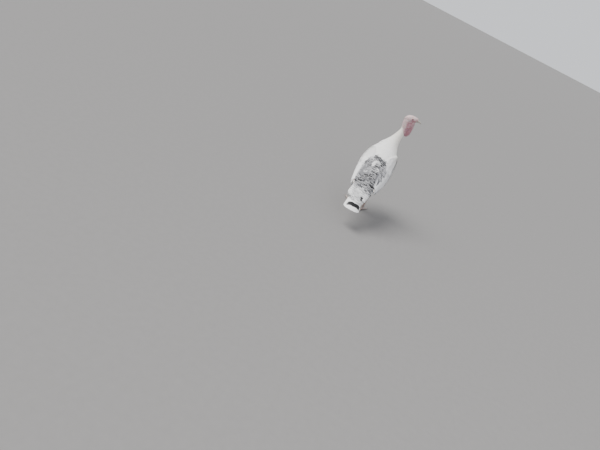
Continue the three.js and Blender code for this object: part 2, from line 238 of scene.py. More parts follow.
def from_head(points):
    """Points of the model's frame in the head's frame."""
    return (points - HEAD[:3, 3]) @ HEAD[:3, :3] / MM


def off_eye(ahead, up):
    """How far places of the head's frame are from the middle of the eye, seen from the side."""
    return np.hypot(ahead - EYE_AT[0], up - EYE_AT[2])


def drawn(points):
    """x, y and z of points in millimetres from the drawing origin."""
    return ((points - ORIGIN) / MM).T


def past_bare(points):
    """How far points are below the plane where the bare neck ends."""
    return -(points - BARE_AT) @ BARE_FACING


# Meshes.

def vectors(items, key):
    found = np.empty(len(items) * 3, np.float32)
    items.foreach_get(key, found)
    return found.reshape(-1, 3).astype(float)


def coordinates(mesh):
    return vectors(mesh.vertices, "co")


def normals(mesh):
    return vectors(mesh.vertex_normals, "vector")


def set_coordinates(mesh, points):
    mesh.vertices.foreach_set("co", np.asarray(points, np.float32).ravel())
    mesh.update()


def push(mesh, far):
    """Moves each vertex this far out along its normal."""
    set_coordinates(mesh, coordinates(mesh) + normals(mesh) * far[:, None])


def mesh_of(bm, name="clay"):
    mesh = bpy.data.meshes.new(name)
    bm.to_mesh(mesh)
    bm.free()
    return mesh


def put(name, data):
    """A new object in the scene."""
    thing = bpy.data.objects.new(name, data)
    bpy.context.collection.objects.link(thing)
    return thing


def quads(grid):
    """The four corners of each cell of a grid of vertices."""
    return np.stack([grid[:-1, :-1], grid[:-1, 1:], grid[1:, 1:], grid[1:, :-1]], axis=-1)


def node_mesh(name, beyond=None):
    """A node's mesh, or what of it lies beyond a plane (a point and a direction)."""
    bm = bmesh.new()
    bm.from_mesh(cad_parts[name].data)
    bmesh.ops.remove_doubles(bm, verts=bm.verts, dist=1e-6)
    if beyond:
        at, facing = beyond
        everything = [*bm.verts, *bm.edges, *bm.faces]
        bmesh.ops.bisect_plane(bm, geom=everything, plane_co=Vector(at),
                               plane_no=Vector(facing), clear_inner=True)
        rim = [edge for edge in bm.edges if edge.is_boundary]
        bmesh.ops.holes_fill(bm, edges=rim)
    bmesh.ops.triangulate(bm, faces=bm.faces)
    return mesh_of(bm)


def applied(mesh, *modifiers):
    """The mesh with modifiers applied, each a type and its settings."""
    thing = put("clay", mesh)
    for kind, settings in modifiers:
        modifier = thing.modifiers.new(kind, kind)
        for name, value in settings.items():
            setattr(modifier, name, value)
    graph = bpy.context.evaluated_depsgraph_get()
    result = bpy.data.meshes.new_from_object(thing.evaluated_get(graph), depsgraph=graph)
    bpy.data.objects.remove(thing)
    return result


def voxels(size):
    return "REMESH", {"mode": "VOXEL", "voxel_size": size, "adaptivity": 0}


def smoothing(turns):
    return "SMOOTH", {"factor": 0.5, "iterations": turns}


def joined(*meshes):
    bm = bmesh.new()
    for mesh in meshes:
        bm.from_mesh(mesh)
    return mesh_of(bm)


def clay_of(names, size, turns):
    """Nodes as one closed mesh of small even faces, smoothed."""
    return applied(joined(*map(node_mesh, names)), voxels(size), smoothing(turns))


def both_sides(*parts):
    return [f"{part}_{side}" for part in parts for side in LABELS.values()]


def union(first, *others):
    """One closed mesh round several."""
    for other in others:
        tool = put("tool", other)
        first = applied(first, ("BOOLEAN", {
            "operation": "UNION", "solver": "MANIFOLD", "object": tool}))
        bpy.data.objects.remove(tool)
    return first


def write(mesh, name, values):
    """Writes a vector for each vertex, for materials to read."""
    attribute = mesh.attributes.new(name, "FLOAT_VECTOR", "POINT")
    attribute.data.foreach_set("vector", np.asarray(values, np.float32).ravel())


def piece(name, mesh, material, slot, *replaced):
    """A finished piece that rides on the body and stands for some of the solids."""
    thing = put(name, mesh)
    mesh.name = name
    mesh.materials.clear()
    mesh.materials.append(material)
    mesh.polygons.foreach_set("use_smooth", np.ones(len(mesh.polygons), bool))
    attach(thing, "root")
    if replaced:
        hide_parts(*replaced)


class Surface:
    """A closed mesh to lay things on, with smooth normals."""

    def __init__(self, mesh):
        mesh.calc_loop_triangles()
        corners = np.empty(len(mesh.loop_triangles) * 3, np.int32)
        mesh.loop_triangles.foreach_get("vertices", corners)
        self.faces = corners.reshape(-1, 3)
        self.points, self.normals = coordinates(mesh), normals(mesh)
        self.tree = BVHTree.FromPolygons(self.points.tolist(), self.faces.tolist())

    def snap(self, points):
        """The nearest points of the surface, and its normals there."""
        shape = points.shape
        found = [self.tree.find_nearest(p) for p in points.reshape(-1, 3).tolist()]
        spots = np.array([f[0][:] for f in found])
        corners = self.faces[[f[2] for f in found]]
        a, b, c = (self.points[corners[:, k]] for k in range(3))
        whole = np.cross(b - a, c - a)
        size = np.maximum(dot(whole, whole), 1e-20)
        weight_a = dot(np.cross(b - spots, c - spots), whole) / size
        weight_b = dot(np.cross(c - spots, a - spots), whole) / size
        mixed = (self.normals[corners[:, 0]] * weight_a + self.normals[corners[:, 1]] * weight_b
                 + self.normals[corners[:, 2]] * (1 - weight_a - weight_b))
        return spots.reshape(shape), unit(mixed).reshape(shape)


# Materials.

class Output:
    """An output of a material's node. Numbers can be added, multiplied and so on."""

    def __init__(self, look, socket):
        self.look, self.socket = look, socket

    def worked(self, operation, other=0.0):
        return self.look.node("ShaderNodeMath", {0: self, 1: other}, operation=operation)

    def __add__(self, other):
        return self.worked("ADD", other)

    def __sub__(self, other):
        return self.worked("SUBTRACT", other)

    def __mul__(self, other):
        return self.worked("MULTIPLY", other)

    def __abs__(self):
        return self.worked("ABSOLUTE")

    def sine(self):
        return self.worked("SINE")


class Look:
    """A procedural material: short names for the nodes that its patterns are made of."""

    def __init__(self, name, **sockets):
        self.material = bpy.data.materials.new(name)
        self.material.use_nodes = True
        self.tree = self.material.node_tree
        self.shader = self.tree.nodes["Principled BSDF"]
        for socket, value in sockets.items():
            self.feed(self.shader.inputs[socket.replace("_", " ")], value)

    def feed(self, socket, value):
        """Links an output to a socket, or sets the socket to a number or a colour."""
        if isinstance(value, Output):
            self.tree.links.new(value.socket, socket)
        else:
            socket.default_value = (*value, 1) if isinstance(value, tuple) else value

    def node(self, kind, inputs, output=0, **settings):
        """One output of a new node, whose inputs are given by number or name."""
        node = self.tree.nodes.new(kind)
        for name, value in settings.items():
            setattr(node, name, value)
        for key, value in inputs.items():
            self.feed(node.inputs[key], value)
        return Output(self, node.outputs[output])

    def read(self, name):
        """The three numbers of an attribute."""
        values = self.node("ShaderNodeAttribute", {}, "Vector", attribute_name=name)
        first = self.node("ShaderNodeSeparateXYZ", {0: values})
        return [Output(self, socket) for socket in first.socket.node.outputs]

    def place(self):
        return self.node("ShaderNodeTexCoord", {}, "Object")

    def ramp(self, value, low, high, to_low=0.0, to_high=1.0):
        """Goes smoothly from one value to another as its input goes from low to high."""
        inputs = dict(enumerate((value, low, high, to_low, to_high)))
        return self.node("ShaderNodeMapRange", inputs, interpolation_type="SMOOTHSTEP")

    def mix(self, share, a, b):
        return self.node("ShaderNodeMix", {0: share, 6: a, 7: b}, 2, data_type="RGBA")

    def mottle(self, pattern, a, b, low=0.3, high=0.7):
        """One colour where a pattern is low, another where it is high."""
        return self.mix(self.ramp(pattern, low, high), a, b)

    def noise(self, scale, detail, roughness=0.5):
        inputs = {"Vector": self.place(), "Scale": scale, "Detail": detail,
                  "Roughness": roughness}
        return self.node("ShaderNodeTexNoise", inputs, "Fac")

    def cells(self, scale, feature="F1"):
        inputs = {"Vector": self.place(), "Scale": scale}
        return self.node("ShaderNodeTexVoronoi", inputs, "Distance", feature=feature)

    def finished(self, colour, rough=None, height=None, deep=0.0003, strength=0.35):
        """The material, with its colour, and its roughness and fine relief if it has them."""
        self.feed(self.shader.inputs["Base Color"], colour)
        if rough:
            self.feed(self.shader.inputs["Roughness"], rough)
        if height:
            inputs = {"Strength": strength, "Distance": deep, "Height": height}
            self.feed(self.shader.inputs["Normal"], self.node("ShaderNodeBump", inputs))
        return self.material


WHITE, CREAM, LILAC = (0.87, 0.87, 0.865), (0.79, 0.755, 0.68), (0.66, 0.655, 0.70)
SLATE, BLACK, SHAFT = (0.062, 0.063, 0.072), (0.010, 0.010, 0.011), (0.62, 0.57, 0.48)
SHADE = (0.42, 0.41, 0.40)
BARB_PITCH = 1.1  # millimetres between the shown bundles of barbs


def plumage_look():
    """Feathers: white, tinted or grey, with a dark bar before the tip, barbs and a shaft.

    It reads vane (millimetres off the shaft, millimetres from the tip, chance), mark (how dark
    the bar is, its distance from the tip, half its thickness) and tone (grey, lilac, cream).
    """
    look = Look("plumage", Roughness=0.62, Sheen_Weight=0.04, Specular_IOR_Level=0.18)
    across, ahead, chance = look.read("vane")
    dark, bar_at, bar_half = look.read("mark")
    grey, lilac, cream = look.read("tone")
    off = abs(across)
    wobble = (look.noise(260, 3) - 0.5) * 5
    bar = look.ramp(abs(ahead + wobble - bar_at) - bar_half, 0.9, -0.9) * dark
    barbs = ((ahead + off * 0.8) * (2 * math.pi / BARB_PITCH)).sine()
    shaft = look.ramp(off, 0.7, 0.25)
    # The grey and lilac tones also carry painted shade, down the right side and in the hollow at the
    # neck's base.
    base = look.mix(cream, look.mix(lilac, WHITE, LILAC), CREAM)
    base = look.mix(grey * look.ramp(ahead, 1.5, 5.0), base, SLATE)
    base = look.mix(shaft * 0.35, base, SHAFT)
    base = look.mix(barbs * 0.025 + chance * 0.10, base, SHADE)
    ink = look.mottle(dark, SLATE, BLACK, 0.7, 0.95)
    return look.finished(look.mix(bar, base, ink), look.ramp(bar, 0.0, 1.0, 0.66, 0.5),
                         barbs * 0.25 + shaft, deep=0.0004, strength=0.5)


def skin_look():
    """Skin: white down under the coat, pink to red bare flesh, and horny scales on the legs."""
    look = Look("skin", Roughness=0.5, Subsurface_Weight=0.12, Subsurface_Scale=0.003)
    down, red, leg = look.read("tone")
    blotch, fine = look.noise(160, 4, 0.6), look.noise(900, 3)
    pale = look.mottle(blotch, (0.55, 0.385, 0.385), (0.62, 0.505, 0.50), 0.35, 0.65)
    deep = look.mottle(blotch, (0.31, 0.13, 0.16), (0.45, 0.255, 0.29))
    flesh = look.mottle(red, pale, deep, 0.12, 0.85)
    flesh = look.mix(look.ramp(look.cells(700), 0.25, 0.05) * 0.35, flesh, (0.46, 0.24, 0.23))
    seams = look.ramp(look.cells(330, "DISTANCE_TO_EDGE"), 0.09, 0.02)
    horn = look.mottle(blotch, (0.29, 0.235, 0.215), (0.38, 0.325, 0.30))
    horn = look.mix(seams * 0.6, horn, (0.18, 0.14, 0.13))
    white = look.mottle(fine, (0.72, 0.70, 0.66), (0.80, 0.79, 0.77))
    white = look.mix(look.read("marked")[0], white, SLATE)
    relief = look.noise(1400, 3) * 0.6 - seams * leg * 1.2
    return look.finished(look.mix(leg, look.mix(down, flesh, white), horn),
                         look.ramp(fine, 0.2, 0.8, 0.42, 0.62), relief, deep=0.0006, strength=0.6)


def bill_look():
    """Pale horn, with painted shade in the nostrils, and streaked towards the tip."""
    look = Look("bill", Roughness=0.38)
    nostril_pit_and_shade, ahead, root = look.read("tone")
    streak = look.noise(420, 4, 0.6)
    horn = look.mottle(streak, (0.26, 0.23, 0.195), (0.37, 0.335, 0.29))
    horn = look.mix(ahead * 0.45, horn, (0.42, 0.395, 0.355))
    horn = look.mix(root * 0.6, horn, (0.36, 0.24, 0.225))
    # Near black in the nostril pits: painted shade.
    return look.finished(look.mix(nostril_pit_and_shade, horn, (0.05, 0.03, 0.025)),
                         look.ramp(streak, 0.2, 0.8, 0.3, 0.5), look.noise(1100, 4))


def eye_look():
    """A dark brown iris round a black pupil, under a clear wet surface."""
    look = Look("eye", Roughness=0.06, Coat_Weight=1.0, Coat_Roughness=0.02)
    off = look.read("gaze")[0]
    iris = look.mottle(look.noise(2600, 4, 0.7), (0.050, 0.020, 0.010), (0.13, 0.060, 0.028))
    iris = look.mottle(off, iris, (0.020, 0.010, 0.008), 30, 40)
    return look.finished(look.mottle(off, (0.002, 0.002, 0.002), iris, 14, 17))


def scales_look():
    """Horny plates, darker between them and at their ends."""
    look = Look("scales", Roughness=0.42)
    _, ahead, chance = look.read("vane")
    blotch = look.noise(300, 3)
    horn = look.mottle(blotch, (0.32, 0.265, 0.245), (0.40, 0.345, 0.32))
    horn = look.mix(chance * 0.3, horn, (0.38, 0.29, 0.27))
    horn = look.mix(look.ramp(ahead, 0.8, 0.0, 0.0, 0.5), horn, (0.20, 0.15, 0.14))
    return look.finished(horn, look.ramp(blotch, 0.2, 0.8, 0.34, 0.52), look.noise(1300, 4),
                         strength=0.4)


def claw_look():
    """Dark horn, paler in streaks."""
    look = Look("claw", Roughness=0.4)
    streak = look.noise(600, 4, 0.6)
    return look.finished(look.mottle(streak, (0.15, 0.11, 0.09), (0.34, 0.27, 0.22)),
                         look.ramp(streak, 0.2, 0.8, 0.3, 0.5), look.noise(1500, 4))


# Feathers.

COLUMNS = 10
ACROSS = np.sin(np.linspace(-math.pi / 2, math.pi / 2, COLUMNS + 1))
MAP_WIDTH = 0.15  # how wide a feather's place on the map for baking is, for a metre of length

# Outlines: shares along the shaft, and the half width there as a share of the widest.
VANE = np.array(((0, 0.24, 0.44, 0.6, 0.72, 0.82, 0.9, 0.96, 1.0),
                 (0.25, 0.66, 0.88, 0.97, 1.0, 1.0, 0.98, 0.95, 0.92)))
QUILL = np.array(((0, 0.14, 0.28, 0.42, 0.54, 0.65, 0.74, 0.81, 0.87, 0.92, 0.96, 0.985, 1.0),
                  (0.3, 0.55, 0.75, 0.88, 0.95, 1.0, 1.0, 1.0, 0.98, 0.95, 0.9, 0.84, 0.78)))
TAIL_QUILL = np.array((QUILL[0], QUILL[1] * 0.25 + 0.75))
SCUTE = np.array(((0, 0.2, 0.45, 0.7, 0.88, 1.0), (0.9, 0.98, 1.0, 1.0, 0.97, 0.92)))


def vane_faces(rows):
    """Corners of the quads of one closed vane: its top, and an underside sharing the border."""
    top = np.arange(rows * (COLUMNS + 1)).reshape(rows, COLUMNS + 1)
    under = top.copy()
    inner = (rows - 2) * (COLUMNS - 1)
    under[1:-1, 1:-1] = top.size + np.arange(inner).reshape(rows - 2, COLUMNS - 1)
    return np.vstack([quads(top).reshape(-1, 4), quads(under)[..., ::-1].reshape(-1, 4)])


class Plumage:
    """Gathers feathers of one outline and region and makes them one mesh."""

    def __init__(self, name, outline=VANE):
        self.name, self.batches = name, []
        self.steps, self.profile = outline

    def walk(self, surface, start, heading, length):
        """Shafts of these lengths laid along the surface, and the surface's normals under them."""
        spot, up = surface.snap(start)
        spots, ups = [spot], [up]
        for gap in np.diff(self.steps):
            heading = unit(heading - up * dot(heading, up))
            spot, up = surface.snap(spot + heading * (length * gap)[:, None])
            spots.append(spot)
            ups.append(up)
        return np.stack(spots, axis=1), np.stack(ups, axis=1)

    def add(self, surface, lines, ups, *, half, length, depth, tip, mark, tone, place, camber,
            tilt=0.0, rounding=0.8, thick=0.0004, curl=0.0, wrap=0.6, ragged=0.05):
        """Feathers along lines on a surface.

        half and length are each feather's size, depth how far under the surface its root is and
        tip how far over it its end is. mark and tone are read by its material, and place is its
        root's spot on the map for baking. rounding is the depth of the tip's arc as a share of
        half, and wrap how far its sides may bend down as a share of half.
        """
        count, rows = lines.shape[:2]
        ahead = self.steps[:, None]
        width = half[:, None] * self.profile
        side = unit(np.cross(unit(np.gradient(lines, axis=1)), ups))
        drops = []
        for hand in (-1, 1):
            edge, _ = surface.snap(lines + hand * side * width[..., None])
            drop = dot(edge - lines, ups)[..., 0]
            drops.append(np.clip(drop, -wrap * width, 0.25 * width))

        # How far along its shaft each point of a vane is, with a rounded and ragged tip.
        bend = smooth(0.45, 1.0, ahead) * (1 - np.sqrt(np.clip(1 - ACROSS ** 2, 0, 1)))
        share = ahead - bend * (rounding * half / length)[:, None, None]
        notched = rng.random((count, 1, COLUMNS + 1)) < 0.08
        jag = rng.uniform(0, ragged, (count, 1, COLUMNS + 1)) + notched * ragged
        share = np.clip(share - jag * smooth(0.75, 1, ahead), 0, 1)

        # The line, the normals, the side and the drops there.
        spot = np.interp(share, self.steps, np.arange(rows))
        low = np.minimum(spot.astype(int), rows - 2)
        data = np.concatenate([lines, ups, side, stacked(*drops)], axis=-1)
        each = np.arange(count)[:, None, None]
        blend = (spot - low)[..., None]
        held = data[each, low] * (1 - blend) + data[each, low + 1] * blend
        line, up, out = held[..., 0:3], held[..., 3:6], held[..., 6:9]
        fall = np.where(ACROSS < 0, held[..., 9], held[..., 10]) * ACROSS ** 2

        depth, tip, tilt = (np.broadcast_to(np.asarray(value, float), (count,))[:, None, None]
                            for value in (depth, tip, tilt))
        wide = width[..., None]
        rise = (tip * share - depth * (1 - share) ** 2.7 + curl * share ** 4 + fall
                - camber * wide * ACROSS ** 2 + tilt * wide * ACROSS)
        top = line + out * (wide * ACROSS)[..., None] + up * rise[..., None]
        lens = thick * (1 - 0.6 * share) * np.sqrt(1 - ACROSS ** 2)
        under = (top - up * lens[..., None])[:, 1:-1, 1:-1].reshape(count, -1, 3)
        points = np.concatenate([top.reshape(count, -1, 3), under], axis=1)

        def both(values):
            """Values of the top's points, then of the underside's own."""
            grid = np.broadcast_to(values, (count, rows, COLUMNS + 1))
            inner = grid[:, 1:-1, 1:-1].reshape(count, -1)
            return np.concatenate([grid.reshape(count, -1), inner], axis=1)

        def whole(values):
            """The same values for all points of a feather."""
            return np.broadcast_to(values[:, None], points.shape)

        to_tip = both((1 - ahead) * length[:, None, None] / MM)
        chance = both(rng.random(count)[:, None, None])
        patch = stacked(both(ACROSS) / 2, both(ahead) - 0.5)
        self.batches.append({
            "points": points,
            "vane": stacked(both(wide * ACROSS / MM), to_tip, chance),
            "mark": whole(mark),
            "tone": whole(tone),
            "map": place[:, None] + MAP_WIDTH * length[:, None, None] * patch,
        })

    def build(self, material, slot="plumage"):
        rows = len(self.steps)
        gathered = {key: np.concatenate([batch[key] for batch in self.batches])
                    for key in self.batches[0]}
        points = gathered["points"]
        count, size = points.shape[:2]
        faces = vane_faces(rows)[None] + (np.arange(count) * size)[:, None, None]
        corners = faces.reshape(-1)
        mesh = bpy.data.meshes.new(self.name)
        mesh.vertices.add(count * size)
        mesh.loops.add(corners.size)
        mesh.polygons.add(corners.size // 4)
        mesh.vertices.foreach_set("co", points.astype(np.float32).ravel())
        mesh.loops.foreach_set("vertex_index", corners.astype(np.int32))
        mesh.polygons.foreach_set("loop_start", np.arange(0, corners.size, 4, dtype=np.int32))
        mesh.update(calc_edges=True)
        for key in ("vane", "mark", "tone"):
            write(mesh, key, gathered[key])
        places = gathered["map"].reshape(-1, 2)[corners].astype(np.float32)
        mesh.uv_layers.new(name="OFBake").uv.foreach_set("vector", places.ravel())
        self.sharpen(mesh, rows, size)
        print(f"{self.name}: {count} feathers, {corners.size // 2} triangles")
        piece(self.name, mesh, material, slot)

    @staticmethod
    def sharpen(mesh, rows, size):
        """Marks each vane's border as sharp, so that its top is shaded apart from its underside."""
        grid = np.arange(rows * (COLUMNS + 1)).reshape(rows, COLUMNS + 1)
        rim = np.concatenate([grid[0], grid[1:, -1], grid[-1, -2::-1], grid[-2:0:-1, 0]])
        turn = np.full(size, -1)
        turn[rim] = np.arange(len(rim))
        ends = np.empty(len(mesh.edges) * 2, np.int32)
        mesh.edges.foreach_get("vertices", ends)
        at = turn[ends.reshape(-1, 2) % size]
        apart = np.abs(at[:, 0] - at[:, 1])
        sharp = (at >= 0).all(axis=1) & ((apart == 1) | (apart == len(rim) - 1))
        flags = mesh.attributes.new("sharp_edge", "BOOLEAN", "EDGE")
        flags.data.foreach_set("value", sharp)


def rows_over(at, along, across, spacing, first=None, ratio=1.1, closed=True):
    """Roots in staggered rows across a form, with rows evenly apart along each line of the form.

    at(t, cross) gives points, and spacing(t, cross) the wanted gap between rows. along and across
    are the first and last t and cross, and how many to measure at. first says how far past the
    first row each point is, ratio how far apart roots are in a row for a gap of 1, and closed
    whether a row runs all the way round. Returns each root's t, cross and gap.
    """
    lead = 0.4
    ts, crosses = np.linspace(*along), np.linspace(*across)
    grid = at(ts[:, None], crosses[None, :])
    gap = np.broadcast_to(spacing(ts[:, None], crosses[None, :]), grid.shape[:2])
    stride = np.linalg.norm(np.diff(grid, axis=0), axis=-1) / (0.5 * (gap[1:] + gap[:-1]))
    count = np.vstack([np.zeros(len(crosses)), np.cumsum(stride, axis=0)])
    if first is not None:
        past = first(grid)
        count -= [np.interp(0, past[:, k], count[:, k]) for k in range(len(crosses))]
    found = []
    for number in range(int(count[-1].max() - lead) + 1):
        level = number + lead
        t = np.array([np.interp(level, count[:, k], ts) for k in range(len(crosses))])
        spots, lie = at(t, crosses), heading_on(at, t, crosses)
        hop = np.diff(spots, axis=0)
        hop -= lie[1:] * dot(hop, lie[1:])
        run = np.concatenate([[0], np.cumsum(np.linalg.norm(hop, axis=-1))])
        apart = ratio * np.mean(spacing(t, crosses))
        fit = max(1, round(run[-1] / apart))
        places = (np.arange(fit) + 0.5 * (number % 2)) * run[-1] / fit
        if not closed:
            places = places + 0.25 * apart
        cross = np.interp(places, run, crosses)
        root = np.interp(cross, crosses, t)
        inside = level < np.interp(cross, crosses, count[-1])
        found.append(stacked(root, cross, spacing(root, cross))[inside])
    return np.concatenate(found).T


def gap_along(ts, gaps):
    """A gap between rows that changes along a form only."""
    return lambda t, cross: np.interp(t, ts, gaps)


def heading_on(at, t, cross):
    """Which way a form's lines run."""
    return unit(at(t + 1e-3, cross) - at(t, cross))


# The form that the plumage lies on, and the skin under it.

class Owners:
    """Knows which solid is nearest to a point."""

    def __init__(self, names):
        meshes = [node_mesh(name) for name in names]
        whole = joined(*meshes)
        faces = [polygon.vertices[:] for polygon in whole.polygons]
        self.tree = BVHTree.FromPolygons(coordinates(whole).tolist(), faces)
        self.names = np.repeat(names, [len(mesh.polygons) for mesh in meshes])

    def of(self, points):
        return self.names[[self.tree.find_nearest(p)[2] for p in points.tolist()]]


owners = Owners(FEATHERED)
outer = Surface(clay_of(FEATHERED, 0.004, 8))


def belong(points, *labels):
    """Whether places on the outside belong to solids whose names start with these."""
    names = owners.of(points)
    return np.any([np.char.startswith(names, label) for label in labels], axis=0)


def coat_depth(points, names):
    """How deep the skin lies under the plumage's outside, for solids of these names."""
    below = past_bare(points)
    depth = 0.0045 * smooth(0.0, 0.04, below) + 0.0045 * smooth(0.06, 0.14, below)
    shank = 0.15 + 0.85 * smooth(0.172, 0.235, points[:, 2])
    depth = np.where(np.char.startswith(names, "thigh"), depth * shank, depth)
    return np.where(np.char.startswith(names, "wing"), 0.005, depth)


def body_skin():
    """The flesh under the plumage: the covered solids, drawn in by the depth of the coat."""
    tail_end = ((0, 0.085, 0), (0, -1, 0.3))
    neck_top = ((0, 0, 0.585), (0, 0, -1))
    solids = [node_mesh(name) for name in FEATHERED if name not in ("tail", "neck_lower")]
    solids += [node_mesh("tail", tail_end), node_mesh("neck_lower", neck_top)]
    clay = applied(joined(*solids), voxels(0.004), smoothing(8))
    points = coordinates(clay)
    push(clay, -coat_depth(points, owners.of(points)))
    return applied(clay, smoothing(4), voxels(0.006), smoothing(3))


# Where the regions of the coat end: neck and shoulder in metres below the bare skin, the breast
# in radians from the middle of the back, and the back as a share of the body's length.
NECK_END, SHOULDER_END, BREAST_EDGE, BACK_END = 0.085, 0.17, 1.4, 0.68

# The gap between rows of body feathers, for each section of the spine.
BODY_GAP = np.array((5, 5, 5.4, 7, 9, 11.5, 14, 17, 18.5, 19, 18, 16, 14)) * MM


def body_gap(t, cross):
    along = np.interp(t * (len(SPINE) - 1), np.arange(len(SPINE)), BODY_GAP)
    return along * np.interp(np.abs(cross), (0, 0.9, 1.6, math.pi), (1, 0.95, 0.82, 0.82))


def on_body(t, cross):
    """On the body's form, at an angle away from the middle of its back."""
    return body_form.at(t, math.pi / 2 - cross)


# Dark marks on the saddle, left and back from the drawing origin, and about how wide its darker
# and paler patches are, in metres.
BROKEN_BAND = ((-50, 203), (-16, 234), (13, 243), (41, 243), (66, 272))
REAR_ARC = ((60, 282), (31, 290), (5, 302), (-30, 300), (-50, 262), (-66, 238))
FRONT_STREAK = ((26, 97), (-9, 109), (-44, 106))
COVERT_SPOT = ((-21, 379), (-15, 377))
PALE_GAPS = ((43, 224), (52, 226)), ((-27, 172), (-27, 182)), ((30, 165), (12, 138))
PATCH_SIZE = 0.030


def gap_to(spots, line):
    """How far spots are from a broken line, seen from above."""
    line = np.array(line, float)
    best = np.full(len(spots), np.inf)
    for a, b in zip(line[:-1], line[1:]):
        share = np.clip((spots - a) @ (b - a) / ((b - a) @ (b - a)), 0, 1)
        best = np.minimum(best, np.linalg.norm(spots - a - share[:, None] * (b - a), axis=1))
    return best


def marked_regions(points, ups):
    """How much places face up, and lie in the saddle, its bands, its streak and the spot."""
    x, y, _ = drawn(points)
    spots = stacked(x, y)
    top = smooth(0.1, 0.5, ups[:, 2])
    width = np.interp(y, (90, 140, 240, 330), (58, 78, 84, 62))
    saddle = top * smooth(98, 120, y) * smooth(1.08, 0.85, np.abs(x - 4) / width)
    saddle *= 1 - 0.5 * smooth(318, 350, y)
    for line in PALE_GAPS:
        saddle *= 1 - 0.75 * smooth(11, 6, gap_to(spots, line))

    def near(line, far, close):
        return top * smooth(far, close, gap_to(spots, line))

    return (top, saddle, near(BROKEN_BAND, 15, 8), near(REAR_ARC, 14, 7),
            near(FRONT_STREAK, 18, 12), near(COVERT_SPOT, 12, 9))


def body_marks(tips, ups):
    """How feathers that end at these places are marked: the values of mark and of tone."""
    x, y, _ = drawn(tips)
    top, saddle, band, rear, streak, spot = marked_regions(tips, ups)
    chance, other = rng.random((2, len(x)))
    under = smooth(0.25, -0.15, ups[:, 2]) * smooth(0.04, 0.12, past_bare(tips))
    covert = top * smooth(325, 345, y) * smooth(410, 395, y)

    # How dark the bar before a feather's tip is.
    dark = np.maximum.reduce([
        covert * (0.08 + 0.5 * chance ** 2),
        saddle * (0.62 + 0.38 * chance),
        band * (0.8 + 0.17 * other),
        rear * (0.65 + 0.3 * other),
        streak * (0.72 + 0.2 * other),
        spot,
        under * (0.12 + 0.25 * chance),
    ])

    # Half its thickness and its distance from the tip. Some patches of feathers have more of it.
    bold, solid = np.maximum.reduce([band, rear, streak, spot]), np.maximum(streak, spot)
    dense = bell((x + 8) / 40, (y - 195) / 52)
    patch = unrest(tips / PATCH_SIZE)
    blot = smooth(0.42, 0.56, 0.5 * other + 0.55 * (patch + 0.5) + 0.28 * dense)
    half = saddle * (2.0 + 2.4 * other + 2.4 * blot)
    half = 0.6 + 1.1 * covert + half + 1.4 * bold + 4.5 * solid
    at = half + (1.0 + 0.9 * saddle) * (1 - 0.8 * solid)

    # The tint of the rest of the feather, with painted shade in the hollow at the neck's base and
    # down the right side.
    # Painted shade: grey in the hollow between the neck and the shoulders.
    hollow_shade = bell((x - 8) / 34, (y - 92) / 16)
    # Painted shade down the right side, which faces away from the light: grey and lilac.
    right = smooth(-20, -66, x) * top * smooth(75, 130, y) * smooth(330, 250, y)
    base = np.interp(y, (110, 200, 245, 305, 335), (0.45, 0.58, 0.76, 0.79, 0.46))
    grey = saddle * np.maximum(base + 0.35 * chance * other, blot * (0.68 + 0.28 * chance))
    grey = np.maximum.reduce([grey, streak * 0.85, 0.16 * hollow_shade, right * (0.08 + 0.22 * chance)])
    # Lilac is a tint on the saddle, and painted shade on the right side.
    lilac = 0.35 * saddle + 0.4 * right
    cream = 0.75 * smooth(0.16, 0.02, past_bare(tips)) + 0.15 * smooth(110, 60, y)
    tone = stacked(grey, lilac, cream * (1 - saddle))
    return stacked(dark, at, half), np.clip(tone, 0, 1)


def first_row(points):
    """How far points are past the first feathers, which lie on the bare skin's rim."""
    return past_bare(points) + 0.005


